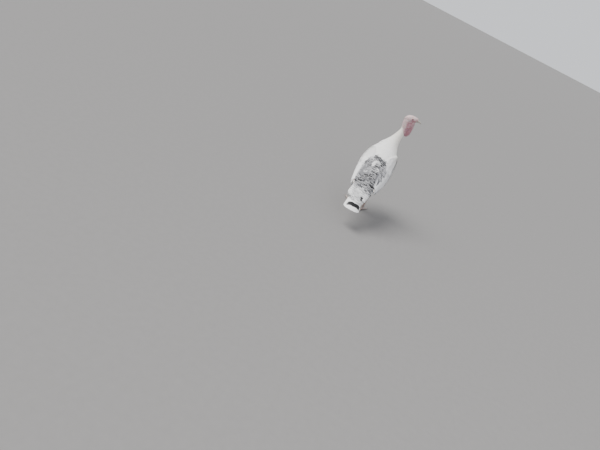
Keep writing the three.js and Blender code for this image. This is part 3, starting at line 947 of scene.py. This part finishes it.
def body_feathers():
    """Feathers of neck and trunk, from the bare neck to the ends of the tail's coverts."""
    coats = [Plumage(f"plumage_{name}") for name in ("neck", "shoulder", "breast", "back", "rump")]
    t, cross, gap = rows_over(on_body, (0.08, 0.955, 260), (-math.pi, math.pi, 121), body_gap,
                              first=first_row)

    # Roots stray from their rows, most on the breast's sides and least on the neck.
    jitter = rng.uniform(-1, 1, (2, len(t))) * gap * smooth(0.08, 0.3, t)
    loose = 0.26 + 0.6 * smooth(0.7, 1.3, np.abs(cross)) * smooth(0.7, 0.5, t)
    t, cross = t + loose * jitter[0], cross + 2.4 * jitter[1]
    heading = heading_on(on_body, t, cross)
    roots, _ = outer.snap(on_body(t, cross))
    _, lean = outer.snap(on_body(t + 0.02, cross))
    on_edge = (t > 0.86) & (np.abs(lean[:, 0]) > 0.75)
    kept = belong(roots, "trunk", "neck", "tail") & ~on_edge
    t, cross, gap, heading, roots, lean = only(kept, t, cross, gap, heading, roots, lean)

    # They are longer on the tail, and smaller on the rump's edges.
    below = past_bare(roots)
    length = gap * np.interp(below, (0, 0.1, 0.5), (3.0, 3.2, 3.1))
    length = length * (1 + 0.35 * smooth(0.86, 0.95, t)) * rng.uniform(0.92, 1.08, len(t))
    half = 0.84 * gap * rng.uniform(0.95, 1.05, len(gap))
    edge = smooth(0.35, 0.8, np.abs(lean[:, 0])) * smooth(0.74, 0.84, t)
    half, length = half * (1 - 0.35 * edge), length * (1 - 0.25 * edge)
    heading = unit(heading + np.cross(heading, (0, 0, 1)) * rng.normal(0, 0.05, (len(t), 1)))
    lines, ups = coats[0].walk(outer, roots, heading, length)
    mark, tone = body_marks(lines[:, -1], ups[:, -1])
    fluff = np.interp(np.abs(cross), (1.6, 2.6), (0.0, 0.0015)) * smooth(0.4, 0.6, t)
    sizes = {
        "half": half,
        "length": length,
        "depth": coat_depth(roots, "trunk") + 0.0004,
        "tip": 0.0001 + fluff,
        "tilt": 0.03 * np.sign(cross) + rng.normal(0, 0.025, len(t)),
        "mark": mark,
        "tone": tone,
        "place": stacked(cross / (2 * math.pi) * 0.94 + 0.5, t * 0.94 + 0.03),
    }
    part = np.select([below < NECK_END, below < SHOULDER_END, np.abs(cross) > BREAST_EDGE,
                      t < BACK_END], range(4), 4)
    for number, coat in enumerate(coats):
        chosen = part == number
        own = {key: values[chosen] for key, values in sizes.items()}
        coat.add(outer, lines[chosen], ups[chosen], rounding=0.66, camber=0.02, curl=-0.0004,
                 wrap=0.25 if number == 4 else 0.6, **own)
    return coats


def thigh_feathers(coat, hand):
    """Feathers in rings down a thigh, shorter towards the shank."""
    label = f"thigh_{LABELS[hand]}"
    at = Form(THIGH * (hand, 1, 1, 1, 1, 1), (0, 1, 0), leg_origin(hand)).at
    gaps = gap_along((0, 0.5, 1), (0.015, 0.012, 0.006))
    t, cross, gap = rows_over(at, (0.12, 0.97, 120), (-math.pi, math.pi, 61), gaps)
    heading = heading_on(at, t, cross)
    roots, _ = outer.snap(at(t, cross))
    t, cross, gap, heading, roots = only(belong(roots, label), t, cross, gap, heading, roots)
    left_over = np.linalg.norm(at(1.0, cross) - roots, axis=-1)
    length = np.minimum(3.1 * gap, left_over + 0.004)
    surface = Surface(clay_of([label], 0.003, 6))
    lines, ups = coat.walk(surface, roots, heading, length)
    mark, tone = body_marks(lines[:, -1], ups[:, -1])
    mark[:, 0] *= 0.7
    place = stacked(0.5 + 0.24 * hand + cross / (2 * math.pi) * 0.44, t * 0.8 + 0.1)
    coat.add(surface, lines, ups, half=0.84 * gap, length=length, tip=0.0006,
             depth=coat_depth(roots, label) + 0.0004, tilt=0.03 * hand, camber=0.05,
             mark=mark, tone=tone, place=place)


# Wings.

# Rows of long coverts: their share along the wing, the share across it between them, and their
# half width and length in metres.
LONG_COVERTS = ((0.375, 0.062, 0.0125, 0.040), (0.435, 0.078, 0.016, 0.062))
PRIMARIES, SECONDARIES, TERTIALS = 5, 12, 3


def wing_map(hand, a, b):
    """A place on the map for baking, with one wing over the other."""
    return stacked(0.04 + 0.92 * a, 0.5 + hand * (0.04 + 0.42 * b))


def wing_marks(tips, ups, hand, strength):
    """The saddle's marks where a wing reaches it, faint dark edges on the rest, and a lilac tint
    that is stronger on the right wing as painted shade.
    """
    chance = rng.random(len(tips))
    mark, tone = body_marks(tips, ups)
    edge = stacked(strength * (0.4 + 0.6 * chance), 1.7, 0.6 + 0.4 * chance)
    mark = np.where((mark[:, :1] > 0.3) & (ups[:, 2:] > 0.3), mark, edge)
    # A faint lilac tint on both wings, with more of it on the right wing as painted shade.
    tone[:, 1] = np.maximum(tone[:, 1], 0.35 if hand < 0 else 0.1)
    return mark, tone


def wing_coverts(coat, surface, hand):
    """Small feathers in rows over the wing's fore part, then two rows of longer ones."""
    def at(a, b):
        return wing_point(hand, a, b)

    gaps = gap_along((0, 0.15, 0.4), (0.008, 0.011, 0.013))
    a, b, gap = rows_over(at, (0.015, 0.36, 140), (0.02, 0.98, 61), gaps, closed=False,
                          ratio=1.15)
    rows = [stacked(a, b, 0.8 * gap, 2.9 * gap, 0.005)]
    for where, apart, half, length in LONG_COVERTS:
        rows.append(stacked(where, np.arange(0.03, 0.98, apart), half, length, 0.003))
    a, b, half, length, depth = np.concatenate(rows).T
    roots, _ = surface.snap(at(a, b))
    lines, ups = coat.walk(surface, roots, heading_on(at, a, b), length)
    strength = np.interp(a, (0, 0.35, 0.45), (0.1, 0.2, 0.4))
    mark, tone = wing_marks(lines[:, -1], ups[:, -1], hand, strength)
    coat.add(surface, lines, ups, half=half, length=length, depth=depth,
             tip=0.0016 + 0.0008 * (a < LONG_COVERTS[0][0]), tilt=0.05, camber=0.04,
             rounding=0.75, mark=mark, tone=tone, place=wing_map(hand, a, b))


def wing_quills(coat, surface, hand):
    """Flight feathers: primaries below, secondaries over them, and tertials on top."""
    low, middle, high = (np.linspace(0, 1, count)
                         for count in (PRIMARIES, SECONDARIES, TERTIALS))

    # For each quill: where it starts along and across the wing, where it ends, its half width
    # and how far its end stands off the wing.
    primaries = stacked(0.60, 0.10 + 0.3 * low, 0.97 - 0.04 * low, 0.35 + 0.2 * low,
                        0.011, -0.0016 + 0.0016 * low)
    secondaries = stacked(0.44, 0.10 + 0.80 * middle, 0.93 - 0.07 * middle ** 1.5,
                          0.06 + 0.90 * middle, 0.015, 0.0002 + 0.0022 * middle)
    tertials = stacked(0.36, 0.80 + 0.14 * high, 0.84 - 0.04 * high, 0.82 + 0.14 * high,
                       0.019, 0.0022 + 0.0010 * high)
    table = np.concatenate([primaries, secondaries, tertials])
    half, lift = table[:, 4], table[:, 5]
    a, b = (table[:, k, None] + (table[:, k + 2] - table[:, k])[:, None] * coat.steps
            for k in (0, 1))
    lines = wing_point(hand, a, b)
    _, ups = surface.snap(lines)
    ups = unit(0.25 * ups + ups[:, 2:9].mean(axis=1, keepdims=True))
    length = np.linalg.norm(np.diff(lines, axis=1), axis=-1).sum(axis=1)

    # The lowest three take their marks from three quarters along.
    seen = np.concatenate([lines[:3, 6], lines[3:, -1]])
    mark, tone = wing_marks(seen, ups[:, -1], hand, 0.6)
    coat.add(surface, lines, ups, half=half, length=length, depth=0.003 - lift, tip=lift,
             tilt=0.07, camber=0.03, rounding=0.7, thick=0.0008, ragged=0.012, wrap=0.15,
             mark=mark, tone=tone, place=wing_map(hand, a[:, 4], b[:, 4]))


def scapulars(coat, hand):
    """Broad feathers from the shoulder that lie over the wing's upper edge."""
    def at(t, cross):
        edge = np.interp(t, (0.36, 0.5, 0.66, 0.8), (42, 60, 66, 62))
        return on_wing_side(hand, t, wing_form.at(t, np.radians(edge + cross)))

    gaps = gap_along((0, 1), (0.021, 0.021))
    t, cross, _ = rows_over(at, (0.30, 0.80, 120), (-20, 8, 15), gaps, closed=False)
    roots, _ = outer.snap(at(t, cross))
    heading = unit(heading_on(at, t, cross) + np.array((hand * 0.08, 0, 0)))
    length = 0.064 * rng.uniform(0.92, 1.08, len(t))
    lines, ups = coat.walk(outer, roots, heading, length)
    straight = dot(ups[:, 0], ups[:, -1])[:, 0] > 0.82
    t, cross, length, lines, ups = only(straight, t, cross, length, lines, ups)
    mark, tone = body_marks(lines[:, -1], ups[:, -1])
    mark[:, 0] = np.maximum(mark[:, 0], 0.2)
    place = stacked(0.5 + hand * (0.40 - 0.004 * cross), 0.04 + 0.9 * t)
    coat.add(outer, lines, ups, half=0.0185 * rng.uniform(0.95, 1.05, len(t)), length=length,
             depth=0.004, tip=0.0042, tilt=rng.normal(-0.03 * hand, 0.02, len(t)), camber=0.05,
             mark=mark, tone=tone, place=place)


# Tail.

TAIL_PAIRS = 9
BAND_AT, BAND_SLANT, BAND_HALF = 424, 0.2, 17  # back from the drawing origin, in millimetres
TAIL_ROOT, TAIL_SLOPE = 0.36, 1.12  # where the feathers start, and the tail's length over its run
tail_line = Curve(TAIL[:, :3] * MM + ORIGIN)


def fan_point(t, x):
    """The middle of the shut tail's thickness, x millimetres from its middle line."""
    point = tail_line.at(t)
    bent = np.abs(x / TAIL[-1, 3]) ** TAIL_CURVE
    return point + stacked(x, -TAIL_ROUND * bent * t, -TAIL_ARCH * bent) * MM


def fan_surface():
    t, x = np.meshgrid(np.linspace(0, 1, 40), np.linspace(-80, 80, 41), indexing="ij")
    faces = quads(np.arange(t.size).reshape(t.shape)).reshape(-1, 4)[:, ::-1]
    mesh = bpy.data.meshes.new("clay")
    mesh.from_pydata(fan_point(t, x).reshape(-1, 3).tolist(), [], faces.tolist())
    return Surface(mesh)


def tail_feathers():
    """Tail feathers shut over each other, the middle pair on top."""
    fan = Plumage("plumage_tail", TAIL_QUILL)
    surface = fan_surface()
    order = np.arange(TAIL_PAIRS) + 0.5
    rank = np.concatenate([-order[::-1], order]) / (TAIL_PAIRS - 0.5)
    tip_x = np.sign(rank) * np.abs(rank) ** 0.9 * np.where(rank > 0, 51, 46)
    x = 22 * rank[:, None] * (1 - fan.steps) + tip_x[:, None] * fan.steps
    end = 1 - 0.05 * rank[:, None] ** 2
    lines, ups = surface.snap(fan_point(TAIL_ROOT + (end - TAIL_ROOT) * fan.steps, x))
    ups = ups * np.sign(ups[..., 2:])
    length = np.linalg.norm(np.diff(lines, axis=1), axis=-1).sum(axis=1)
    layer = 0.0026 - 0.0050 * np.abs(rank)

    # The band fades out on the outer feathers, sooner on the left.
    band = (drawn(lines[:, -1])[1] - BAND_AT - BAND_SLANT * tip_x) * TAIL_SLOPE
    strength = smooth(-47, -42, tip_x) * smooth(40, 24, tip_x)
    mark = stacked(strength, band, BAND_HALF * TAIL_SLOPE * (0.4 + 0.6 * strength))
    tone = stacked(0 * rank, 0.1, 0.1)
    fan.add(surface, lines, ups, half=np.full(len(rank), 0.0175), length=length, depth=-layer,
            tip=layer, tilt=-0.03 * np.sign(rank), camber=0.02, rounding=0.6, thick=0.0009,
            ragged=0.012, mark=mark, tone=tone, place=stacked(0.5 + 0.45 * rank, 0.3))
    return fan


# Head and bare neck.

HEAD_VOXEL = 0.00095
BILL_ROOT, BILL_ROOT_REACH, CHIN = (29.5, 0, -7.2), (9.9, 9.9), (25.5, 0, -15.5)
EAR, NOSTRIL, GAZE = (-14, 21.8, -4), (41, -6.5), (0.16, 1, 0.02)
CORNEA_EDGE, CORNEA_RISE = 38, 0.55  # degrees off the gaze, and millimetres
CARUNCLES, FRONT_CARUNCLES, BRISTLES = 760, 44, 320
LID_FOLD = 3.1  # millimetres between the folds round an eye


def blob(at, radii, turns=1):
    """A lump of clay in the head's frame."""
    bm = bmesh.new()
    bmesh.ops.create_icosphere(bm, subdivisions=turns, radius=1)
    mesh = mesh_of(bm)
    set_coordinates(mesh, on_head(coordinates(mesh) * radii + at))
    return mesh


def ring(at, radii, thick, heavy=0.0, facing="side"):
    """A ring of clay in the head's frame that faces the side or ahead, with a heavier top."""
    turns, sides = 32, 8
    round_it = np.linspace(0, 2 * math.pi, turns, endpoint=False)[:, None]
    over = np.linspace(0, 2 * math.pi, sides, endpoint=False)[None, :]
    tube = thick * (1 + heavy * np.sin(round_it))
    wide = 1 + tube / np.mean(radii) * np.cos(over)
    flat, off = radii[0] * wide * np.cos(round_it), tube * np.sin(over)
    flat, off = (flat, off) if facing == "side" else (off, flat)
    points = stacked(flat, off, radii[1] * wide * np.sin(round_it)) + np.array(at)
    first = np.arange(turns * sides).reshape(turns, sides)
    closed = np.pad(first, ((0, 1), (0, 1)), "wrap")
    faces = quads(closed.T).reshape(-1, 4)
    mesh = bpy.data.meshes.new("clay")
    mesh.from_pydata(on_head(points.reshape(-1, 3)).tolist(), [], faces.tolist())
    return mesh


def caruncles(clay):
    """Fleshy bumps on the bare skin, largest at the front of the neck."""
    points, ups = coordinates(clay), normals(clay)
    places = from_head(points)
    ahead, _, up = places.T
    below = past_bare(points)
    throat = smooth(-2, -14, up) * smooth(0, -0.008, below)
    face = smooth(-30, 10, ahead) * smooth(4, -6, up) * smooth(30, 24, ahead)
    bare = smooth(0, -0.008, below) * smooth(31, 27, ahead) * smooth(9, 13, off_eye(ahead, up))
    chance = 0.5 * throat + 0.5 * face + 0.22 * bare
    made = []
    for k in rng.choice(len(points), CARUNCLES, replace=False, p=chance / chance.sum()):
        size = rng.uniform(0.9, 2.1) * (0.6 + 0.6 * throat[k])
        at = places[k] - size * 0.2 * (ups[k] @ HEAD[:3, :3])
        made.append(blob(at, size * rng.uniform(0.8, 1.25, 3)))
    front = smooth(-40, -75, up) * smooth(-40, -20, ahead) * smooth(0.004, -0.004, below)
    for k in rng.choice(len(points), FRONT_CARUNCLES, replace=False, p=front / front.sum()):
        size = rng.uniform(2.2, 4.4)
        made.append(blob(places[k], size * rng.uniform(0.8, 1.2, 3), 2))
    return made


def wrinkled(mesh, places, amount):
    """Creases: ridged noise along the normals, by an amount for each vertex."""
    crease = np.array([noise.turbulence(Vector(place), 3, False) for place in places])
    crease = np.abs(crease - np.median(crease)) / np.ptp(crease)
    push(mesh, amount * (crease - 0.3))


def head_skin():
    """Bare skin of head and neck, with lids, ears, cheeks, chin, caruncles and creases."""
    neck_base = ((0, 0, 0.552), (0, 0, 1))
    names = ("head", "neck_upper", "dewlap", "snood")
    clay = joined(*map(node_mesh, names), node_mesh("neck_lower", neck_base))
    parts = [clay, *caruncles(applied(clay, voxels(0.0016), smoothing(2)))]
    for hand in (-1, 1):
        # Lid, fold round it, brow, pouch under the eye, ear, corner of the bill and jaw.
        ahead, side, up = EYE_AT[0], hand * EYE_AT[1], EYE_AT[2]
        parts += [
            ring((ahead, side + hand * 5.3, up), (5.7, 4.7), 1.7, heavy=0.25),
            ring((ahead - 0.4, side + hand * 3.9, up - 0.2), (8.8, 7.8), 1.2, heavy=0.3),
            blob((ahead - 0.5, side + hand * 1.2, up + 8.2), (7.5, 2.8, 2.4), 2),
            blob((ahead - 2, side + hand * 1.4, up - 9.0), (8.0, 3.0, 2.0), 2),
            ring((EAR[0], hand * EAR[1], EAR[2]), (3.6, 2.9), 1.3, heavy=0.4),
            blob((25, hand * 9.8, -9), (6, 3.5, 3.2), 2),
            blob((-8, hand * 15.5, -24), (11, 5.0, 6.0), 2),
        ]
    parts += [
        ring(BILL_ROOT, BILL_ROOT_REACH, 1.7, facing="ahead"),
        blob(CHIN, (4.5, 8.8, 4.2), 2),
    ]
    clay = applied(joined(*parts), voxels(HEAD_VOXEL), smoothing(2))
    points = coordinates(clay)
    push(clay, -coat_depth(points, "neck") - 0.0015 * smooth(0.582, 0.574, points[:, 2]))
    places = from_head(points)
    ahead, _, up = places.T
    lids = off_eye(ahead, up)
    bare = smooth(0.004, -0.01, past_bare(points))
    amount = 0.0020 * bare * smooth(8.0, 13.0, lids) * (0.5 + 0.5 * smooth(0, -20, up))
    places = places * (0.16, 0.16, 0.30)
    wrinkled(clay, places, amount)
    fold = np.sin(2 * math.pi * lids / LID_FOLD + 2.5 * unrest(places))
    fold *= smooth(5.8, 7.5, lids) * smooth(17, 10, lids)
    push(clay, 0.00035 * bare * fold)
    return clay


def bristles(head):
    """Sparse hair-like feathers on the bare head and neck, thickest towards the plumage."""
    coat = Plumage("bristles", SCUTE)
    surface = Surface(head)
    ahead, side, up = from_head(surface.points).T
    below = past_bare(surface.points)
    nape = smooth(-8, -34, ahead)
    chance = smooth(-0.09, -0.002, below) ** 2 * (0.1 + nape) + 0.12 * smooth(-25, 10, up)
    chance = chance * (below < 0.004) * smooth(8, 12, off_eye(ahead, up)) * (ahead < 18)
    chosen = rng.choice(len(chance), BRISTLES, replace=False, p=chance / chance.sum())
    ahead, side, up, roots = only(chosen, ahead, side, up, surface.points)
    count = len(roots)
    way = unit(np.array((0.35, 0.25, -1.0)) + rng.normal(0, 0.25, (count, 3)))
    length = rng.uniform(0.003, 0.0065, count)
    lines, ups = coat.walk(surface, roots, way, length)
    turn = np.arctan2(side, -12 - ahead) / (2 * math.pi)
    coat.add(surface, lines, ups, half=np.full(count, 0.00014), length=length, depth=0.0003,
             tip=0.0007, camber=0.0, rounding=2.5, thick=0.0002, ragged=0.0,
             mark=np.tile((0.86, 0.0, 50.0), (count, 1)), tone=np.tile((0.75, 0.1, 0.4), (count, 1)),
             place=stacked(0.5 + 0.94 * turn, 0.5 + 0.003 * (up + 50)))
    return coat


def above_floor(mesh, height):
    """Raises what lies below this height."""
    points = coordinates(mesh)
    points[:, 2] = np.maximum(points[:, 2], height)
    set_coordinates(mesh, points)


def leg_skin():
    """Skin of shanks and feet, a little uneven, with flat soles."""
    clay = clay_of(both_sides("shank", "foot"), 0.0016, 3)
    points = coordinates(clay)
    push(clay, 0.0003 * unrest(points * 260) * smooth(0.002, 0.006, points[:, 2]))
    above_floor(clay, 0.0)
    return clay


def skin(head):
    """One skin over the whole bird, and what it looks like where: down, red flesh, leg."""
    mesh = union(body_skin(), head, leg_skin())
    points = coordinates(mesh)
    ahead, _, up = from_head(points).T
    leg = smooth(0.190, 0.172, points[:, 2]) * smooth(0.01, -0.01, points[:, 1])
    down = smooth(0.006, 0.014, past_bare(points)) * (1 - leg)

    # Redder down the throat, round the eye, on its lids and in the ear, and pale at the nape.
    nape = smooth(-22, -40, ahead)
    red = 0.16 + 0.54 * smooth(10, -26, up - 0.2 * ahead) + 0.30 * smooth(-40, -90, up)
    red += 0.30 * bell((ahead - 2) / 13, (up - 1) / 9)
    red += 0.35 * bell((off_eye(ahead, up) - 5.0) / 1.2)
    red += 0.50 * bell((ahead - EAR[0]) / 2.6, (up - EAR[2]) / 2.6)
    red = np.clip((red + 0.42 * unrest(points * 85)) * (1 - 0.62 * nape), 0, 1)
    write(mesh, "tone", stacked(down, red, leg))
    _, saddle, band, rear, streak, spot = marked_regions(points, normals(mesh))
    grey = down * np.maximum.reduce([0.5 * saddle, 0.8 * band, 0.75 * rear, 0.85 * streak, spot])
    write(mesh, "marked", stacked(grey, 0, 0))
    print("skin:", sum(len(p.vertices) - 2 for p in mesh.polygons), "triangles")
    piece("skin", mesh, skin_look(), "bare_skin", "trunk", "neck_lower", "neck_upper", "head",
          "dewlap", "snood", "tail", *both_sides("wing", "thigh", "shank", "foot"))


def bill():
    """Both halves of the bill, with nostrils and a fine grain."""
    names = ("bill_upper", "bill_lower")
    mesh = joined(*(clay_of([name], 0.00045, 3) for name in names))
    places = from_head(coordinates(mesh))
    ahead, side, up = places.T
    # The nostril pits: dented here, and given painted shade by the bill's material.
    nostril_pit_and_shade = bell((ahead - NOSTRIL[0]) / 3.0, (up - NOSTRIL[1]) / 1.3) * smooth(3, 5, np.abs(side))
    push(mesh, -0.0010 * nostril_pit_and_shade + 0.00008 * unrest(places * (0.25, 2, 2)))
    write(mesh, "tone", stacked(nostril_pit_and_shade, smooth(30, 68, ahead), smooth(28, 24, ahead)))
    piece("bill", mesh, bill_look(), "bill", *names)


def eyes():
    """Eyeballs with a bulged cornea, and how many degrees each point is off the gaze."""
    balls = []
    for hand in (-1, 1):
        bm = bmesh.new()
        bmesh.ops.create_uvsphere(bm, u_segments=56, v_segments=40, radius=1)
        mesh = mesh_of(bm)
        poles = coordinates(mesh)
        way = unit(np.array(GAZE) * (1, hand, 1))
        across = unit(np.cross(way, (0, 0, 1)))
        out = poles @ np.array((across, np.cross(across, way), way))
        off = np.degrees(np.arccos(np.clip(poles[:, 2], -1, 1)))
        bulge = CORNEA_RISE * np.clip(1 - (off / CORNEA_EDGE) ** 2, 0, 1) ** 1.5
        centre = np.array(EYE_AT) * (1, hand, 1)
        set_coordinates(mesh, on_head(centre + out * (EYE_RADIUS + bulge)[:, None]))
        write(mesh, "gaze", stacked(off, 0, 0))
        balls.append(mesh)
    piece("eyes", joined(*balls), eye_look(), "eye", *both_sides("eye"))


# Scutes and claws.

# For each toe: its turn in degrees from straight ahead, its length, how far behind the shank
# its line starts, and how far along that line its scutes start.
TOES = {
    "inner": (30, 54, 4, 12),
    "middle": (-2, 76, 2, 12),
    "outer": (-34, 60, 4, 12),
    "hind": (164, 34, 10, 8),
}
SHANK_FRONT = np.array(((47, 160), (43, 140), (30, 92), (14, 34), (8, 18)))
SHANK_TOP, FOOT_TOP, SCUTE_GAP = 152, 20, 6.2


def scutes():
    """Overlapping plates down the front of each shank and along the top of each toe."""
    coat = Plumage("scutes", SCUTE)
    heights = np.arange(SHANK_TOP, FOOT_TOP, -SCUTE_GAP)
    depths = np.interp(-heights, -SHANK_FRONT[:, 1], SHANK_FRONT[:, 0])
    for hand in (-1, 1):
        names = (f"shank_{LABELS[hand]}", f"foot_{LABELS[hand]}")
        surface = Surface(clay_of(names, 0.0013, 4))
        for lane in (-1, 1):
            shift = 0.5 * SCUTE_GAP * (lane > 0)
            starts = stacked(lane * 4.0, depths - 16, heights - shift)
            lay_scutes(coat, surface, hand, starts, unit(np.array((0, -0.28, -1.0))), 8.4, 5.2)
        for turn, length, back, first in TOES.values():
            angle = math.radians(turn * hand)
            way = np.array((-math.sin(angle), -math.cos(angle), 0))
            steps = np.arange(first, length - 4, 4.3)
            starts = np.array((0, back, 14)) + steps[:, None] * way
            lay_scutes(coat, surface, hand, starts, way, 5.6, 4.9)
    coat.build(scales_look(), slot="scales")


def lay_scutes(coat, surface, hand, starts, way, length, half):
    """Scutes of a size in millimetres, from starts in millimetres from the leg's origin."""
    count = len(starts)
    roots, _ = surface.snap(starts * MM + leg_origin(hand))
    long = length * MM * rng.uniform(0.95, 1.05, count)
    lines, ups = coat.walk(surface, roots, np.tile(way, (count, 1)), long)
    blank = np.zeros((count, 3))
    coat.add(surface, lines, ups, half=half * MM * rng.uniform(0.94, 1.06, count), length=long,
             depth=0.0003, tip=0.0009, camber=0.08, rounding=0.45, thick=0.0009, ragged=0.0,
             mark=blank, tone=blank, place=leg_map(roots))


def leg_map(points):
    """Places on the map for baking: each leg unrolled, with its toes below its shank."""
    x, y, z = drawn(points)
    hand = np.sign(x)
    out, back = x - hand * LEG_SPREAD, y - LEG_BACK + hand * LEG_STRIDE
    behind = np.interp(z, SHANK_FRONT[::-1, 1], SHANK_FRONT[::-1, 0])
    on_shank = z > FOOT_TOP
    turn = np.arctan2(out, behind * on_shank - back) / (2 * math.pi)
    height = np.where(on_shank, 0.5 + 0.003 * (z - FOOT_TOP), 0.48 - 0.005 * np.hypot(out, back))
    return stacked(0.5 + hand * 0.25 + 0.44 * turn, height)


def claws():
    names = both_sides(*(f"claw_{toe}" for toe in TOES))
    mesh = clay_of(names, 0.0005, 6)
    above_floor(mesh, 0.0003)
    piece("claws", mesh, claw_look(), "claw", *names)


# Floor, light and camera.

SUN_FROM, FILL_AT = Vector((0.58, 0.06, 0.81)), Vector((-2.5, 6, 4))
CAMERA_AT = Vector((-0.03175, 3.56455, 1.5))
CAMERA_HEADING, CAMERA_DOWN, CAMERA_ROLL, CAMERA_LENS = 5, 26.9, 27.5, 32.16


def floor():
    bm = bmesh.new()
    bmesh.ops.create_grid(bm, x_segments=2, y_segments=2, size=60)
    mesh = mesh_of(bm, "floor")
    look = Look("floor", Roughness=0.9)
    grain = look.mix(look.noise(30, 4), (0.185, 0.18, 0.177), (0.205, 0.20, 0.197))
    mesh.materials.append(look.finished(grain))
    put("floor", mesh)


def studio():
    """A broad sun from the bird's left, a fill lamp from behind and a pale sky."""
    sun = bpy.data.lights.new("key", "SUN")
    sun.energy, sun.angle, sun.color = 4.6, math.radians(36), (1, 0.985, 0.96)
    put("key", sun).rotation_euler = SUN_FROM.to_track_quat("Z", "Y").to_euler()
    fill = bpy.data.lights.new("fill", "AREA")
    fill.shape, fill.size, fill.energy = "DISK", 4, 130
    lamp = put("fill", fill)
    lamp.location = FILL_AT
    way = Vector((0, 0, 0.35)) - FILL_AT
    lamp.rotation_euler = way.to_track_quat("-Z", "Y").to_euler()
    world = bpy.data.worlds.new("studio")
    world.use_nodes = True
    background = world.node_tree.nodes["Background"]
    background.inputs["Color"].default_value = (0.84, 0.86, 0.9, 1)
    background.inputs["Strength"].default_value = 1.08
    bpy.context.scene.world = world


def camera():
    """It looks down at the bird from behind, turned about its own axis."""
    data = bpy.data.cameras.new("camera")
    data.lens = CAMERA_LENS
    thing = put("camera", data)
    thing.matrix_world = (Matrix.Translation(CAMERA_AT) @ turned(180 + CAMERA_HEADING, "Z")
                          @ turned(90 - CAMERA_DOWN, "X") @ turned(CAMERA_ROLL, "Z"))
    bpy.context.scene.camera = thing


camera()
floor()
studio()
bare_head = head_skin()
hairs = bristles(bare_head)
skin(bare_head)
bill()
eyes()
claws()
scutes()
feathers = plumage_look()
coats = [hairs, *body_feathers()]
thighs = Plumage("plumage_thighs")
for hand in LABELS:
    thigh_feathers(thighs, hand)
wings, upper = Plumage("plumage_wings"), Plumage("plumage_scapulars")
quills = Plumage("plumage_quills", QUILL)
for hand in LABELS:
    wing = Surface(clay_of([f"wing_{LABELS[hand]}"], 0.003, 4))
    wing_coverts(wings, wing, hand)
    wing_quills(quills, wing, hand)
    scapulars(upper, hand)
for coat in (*coats, thighs, wings, upper, quills, tail_feathers()):
    coat.build(feathers)
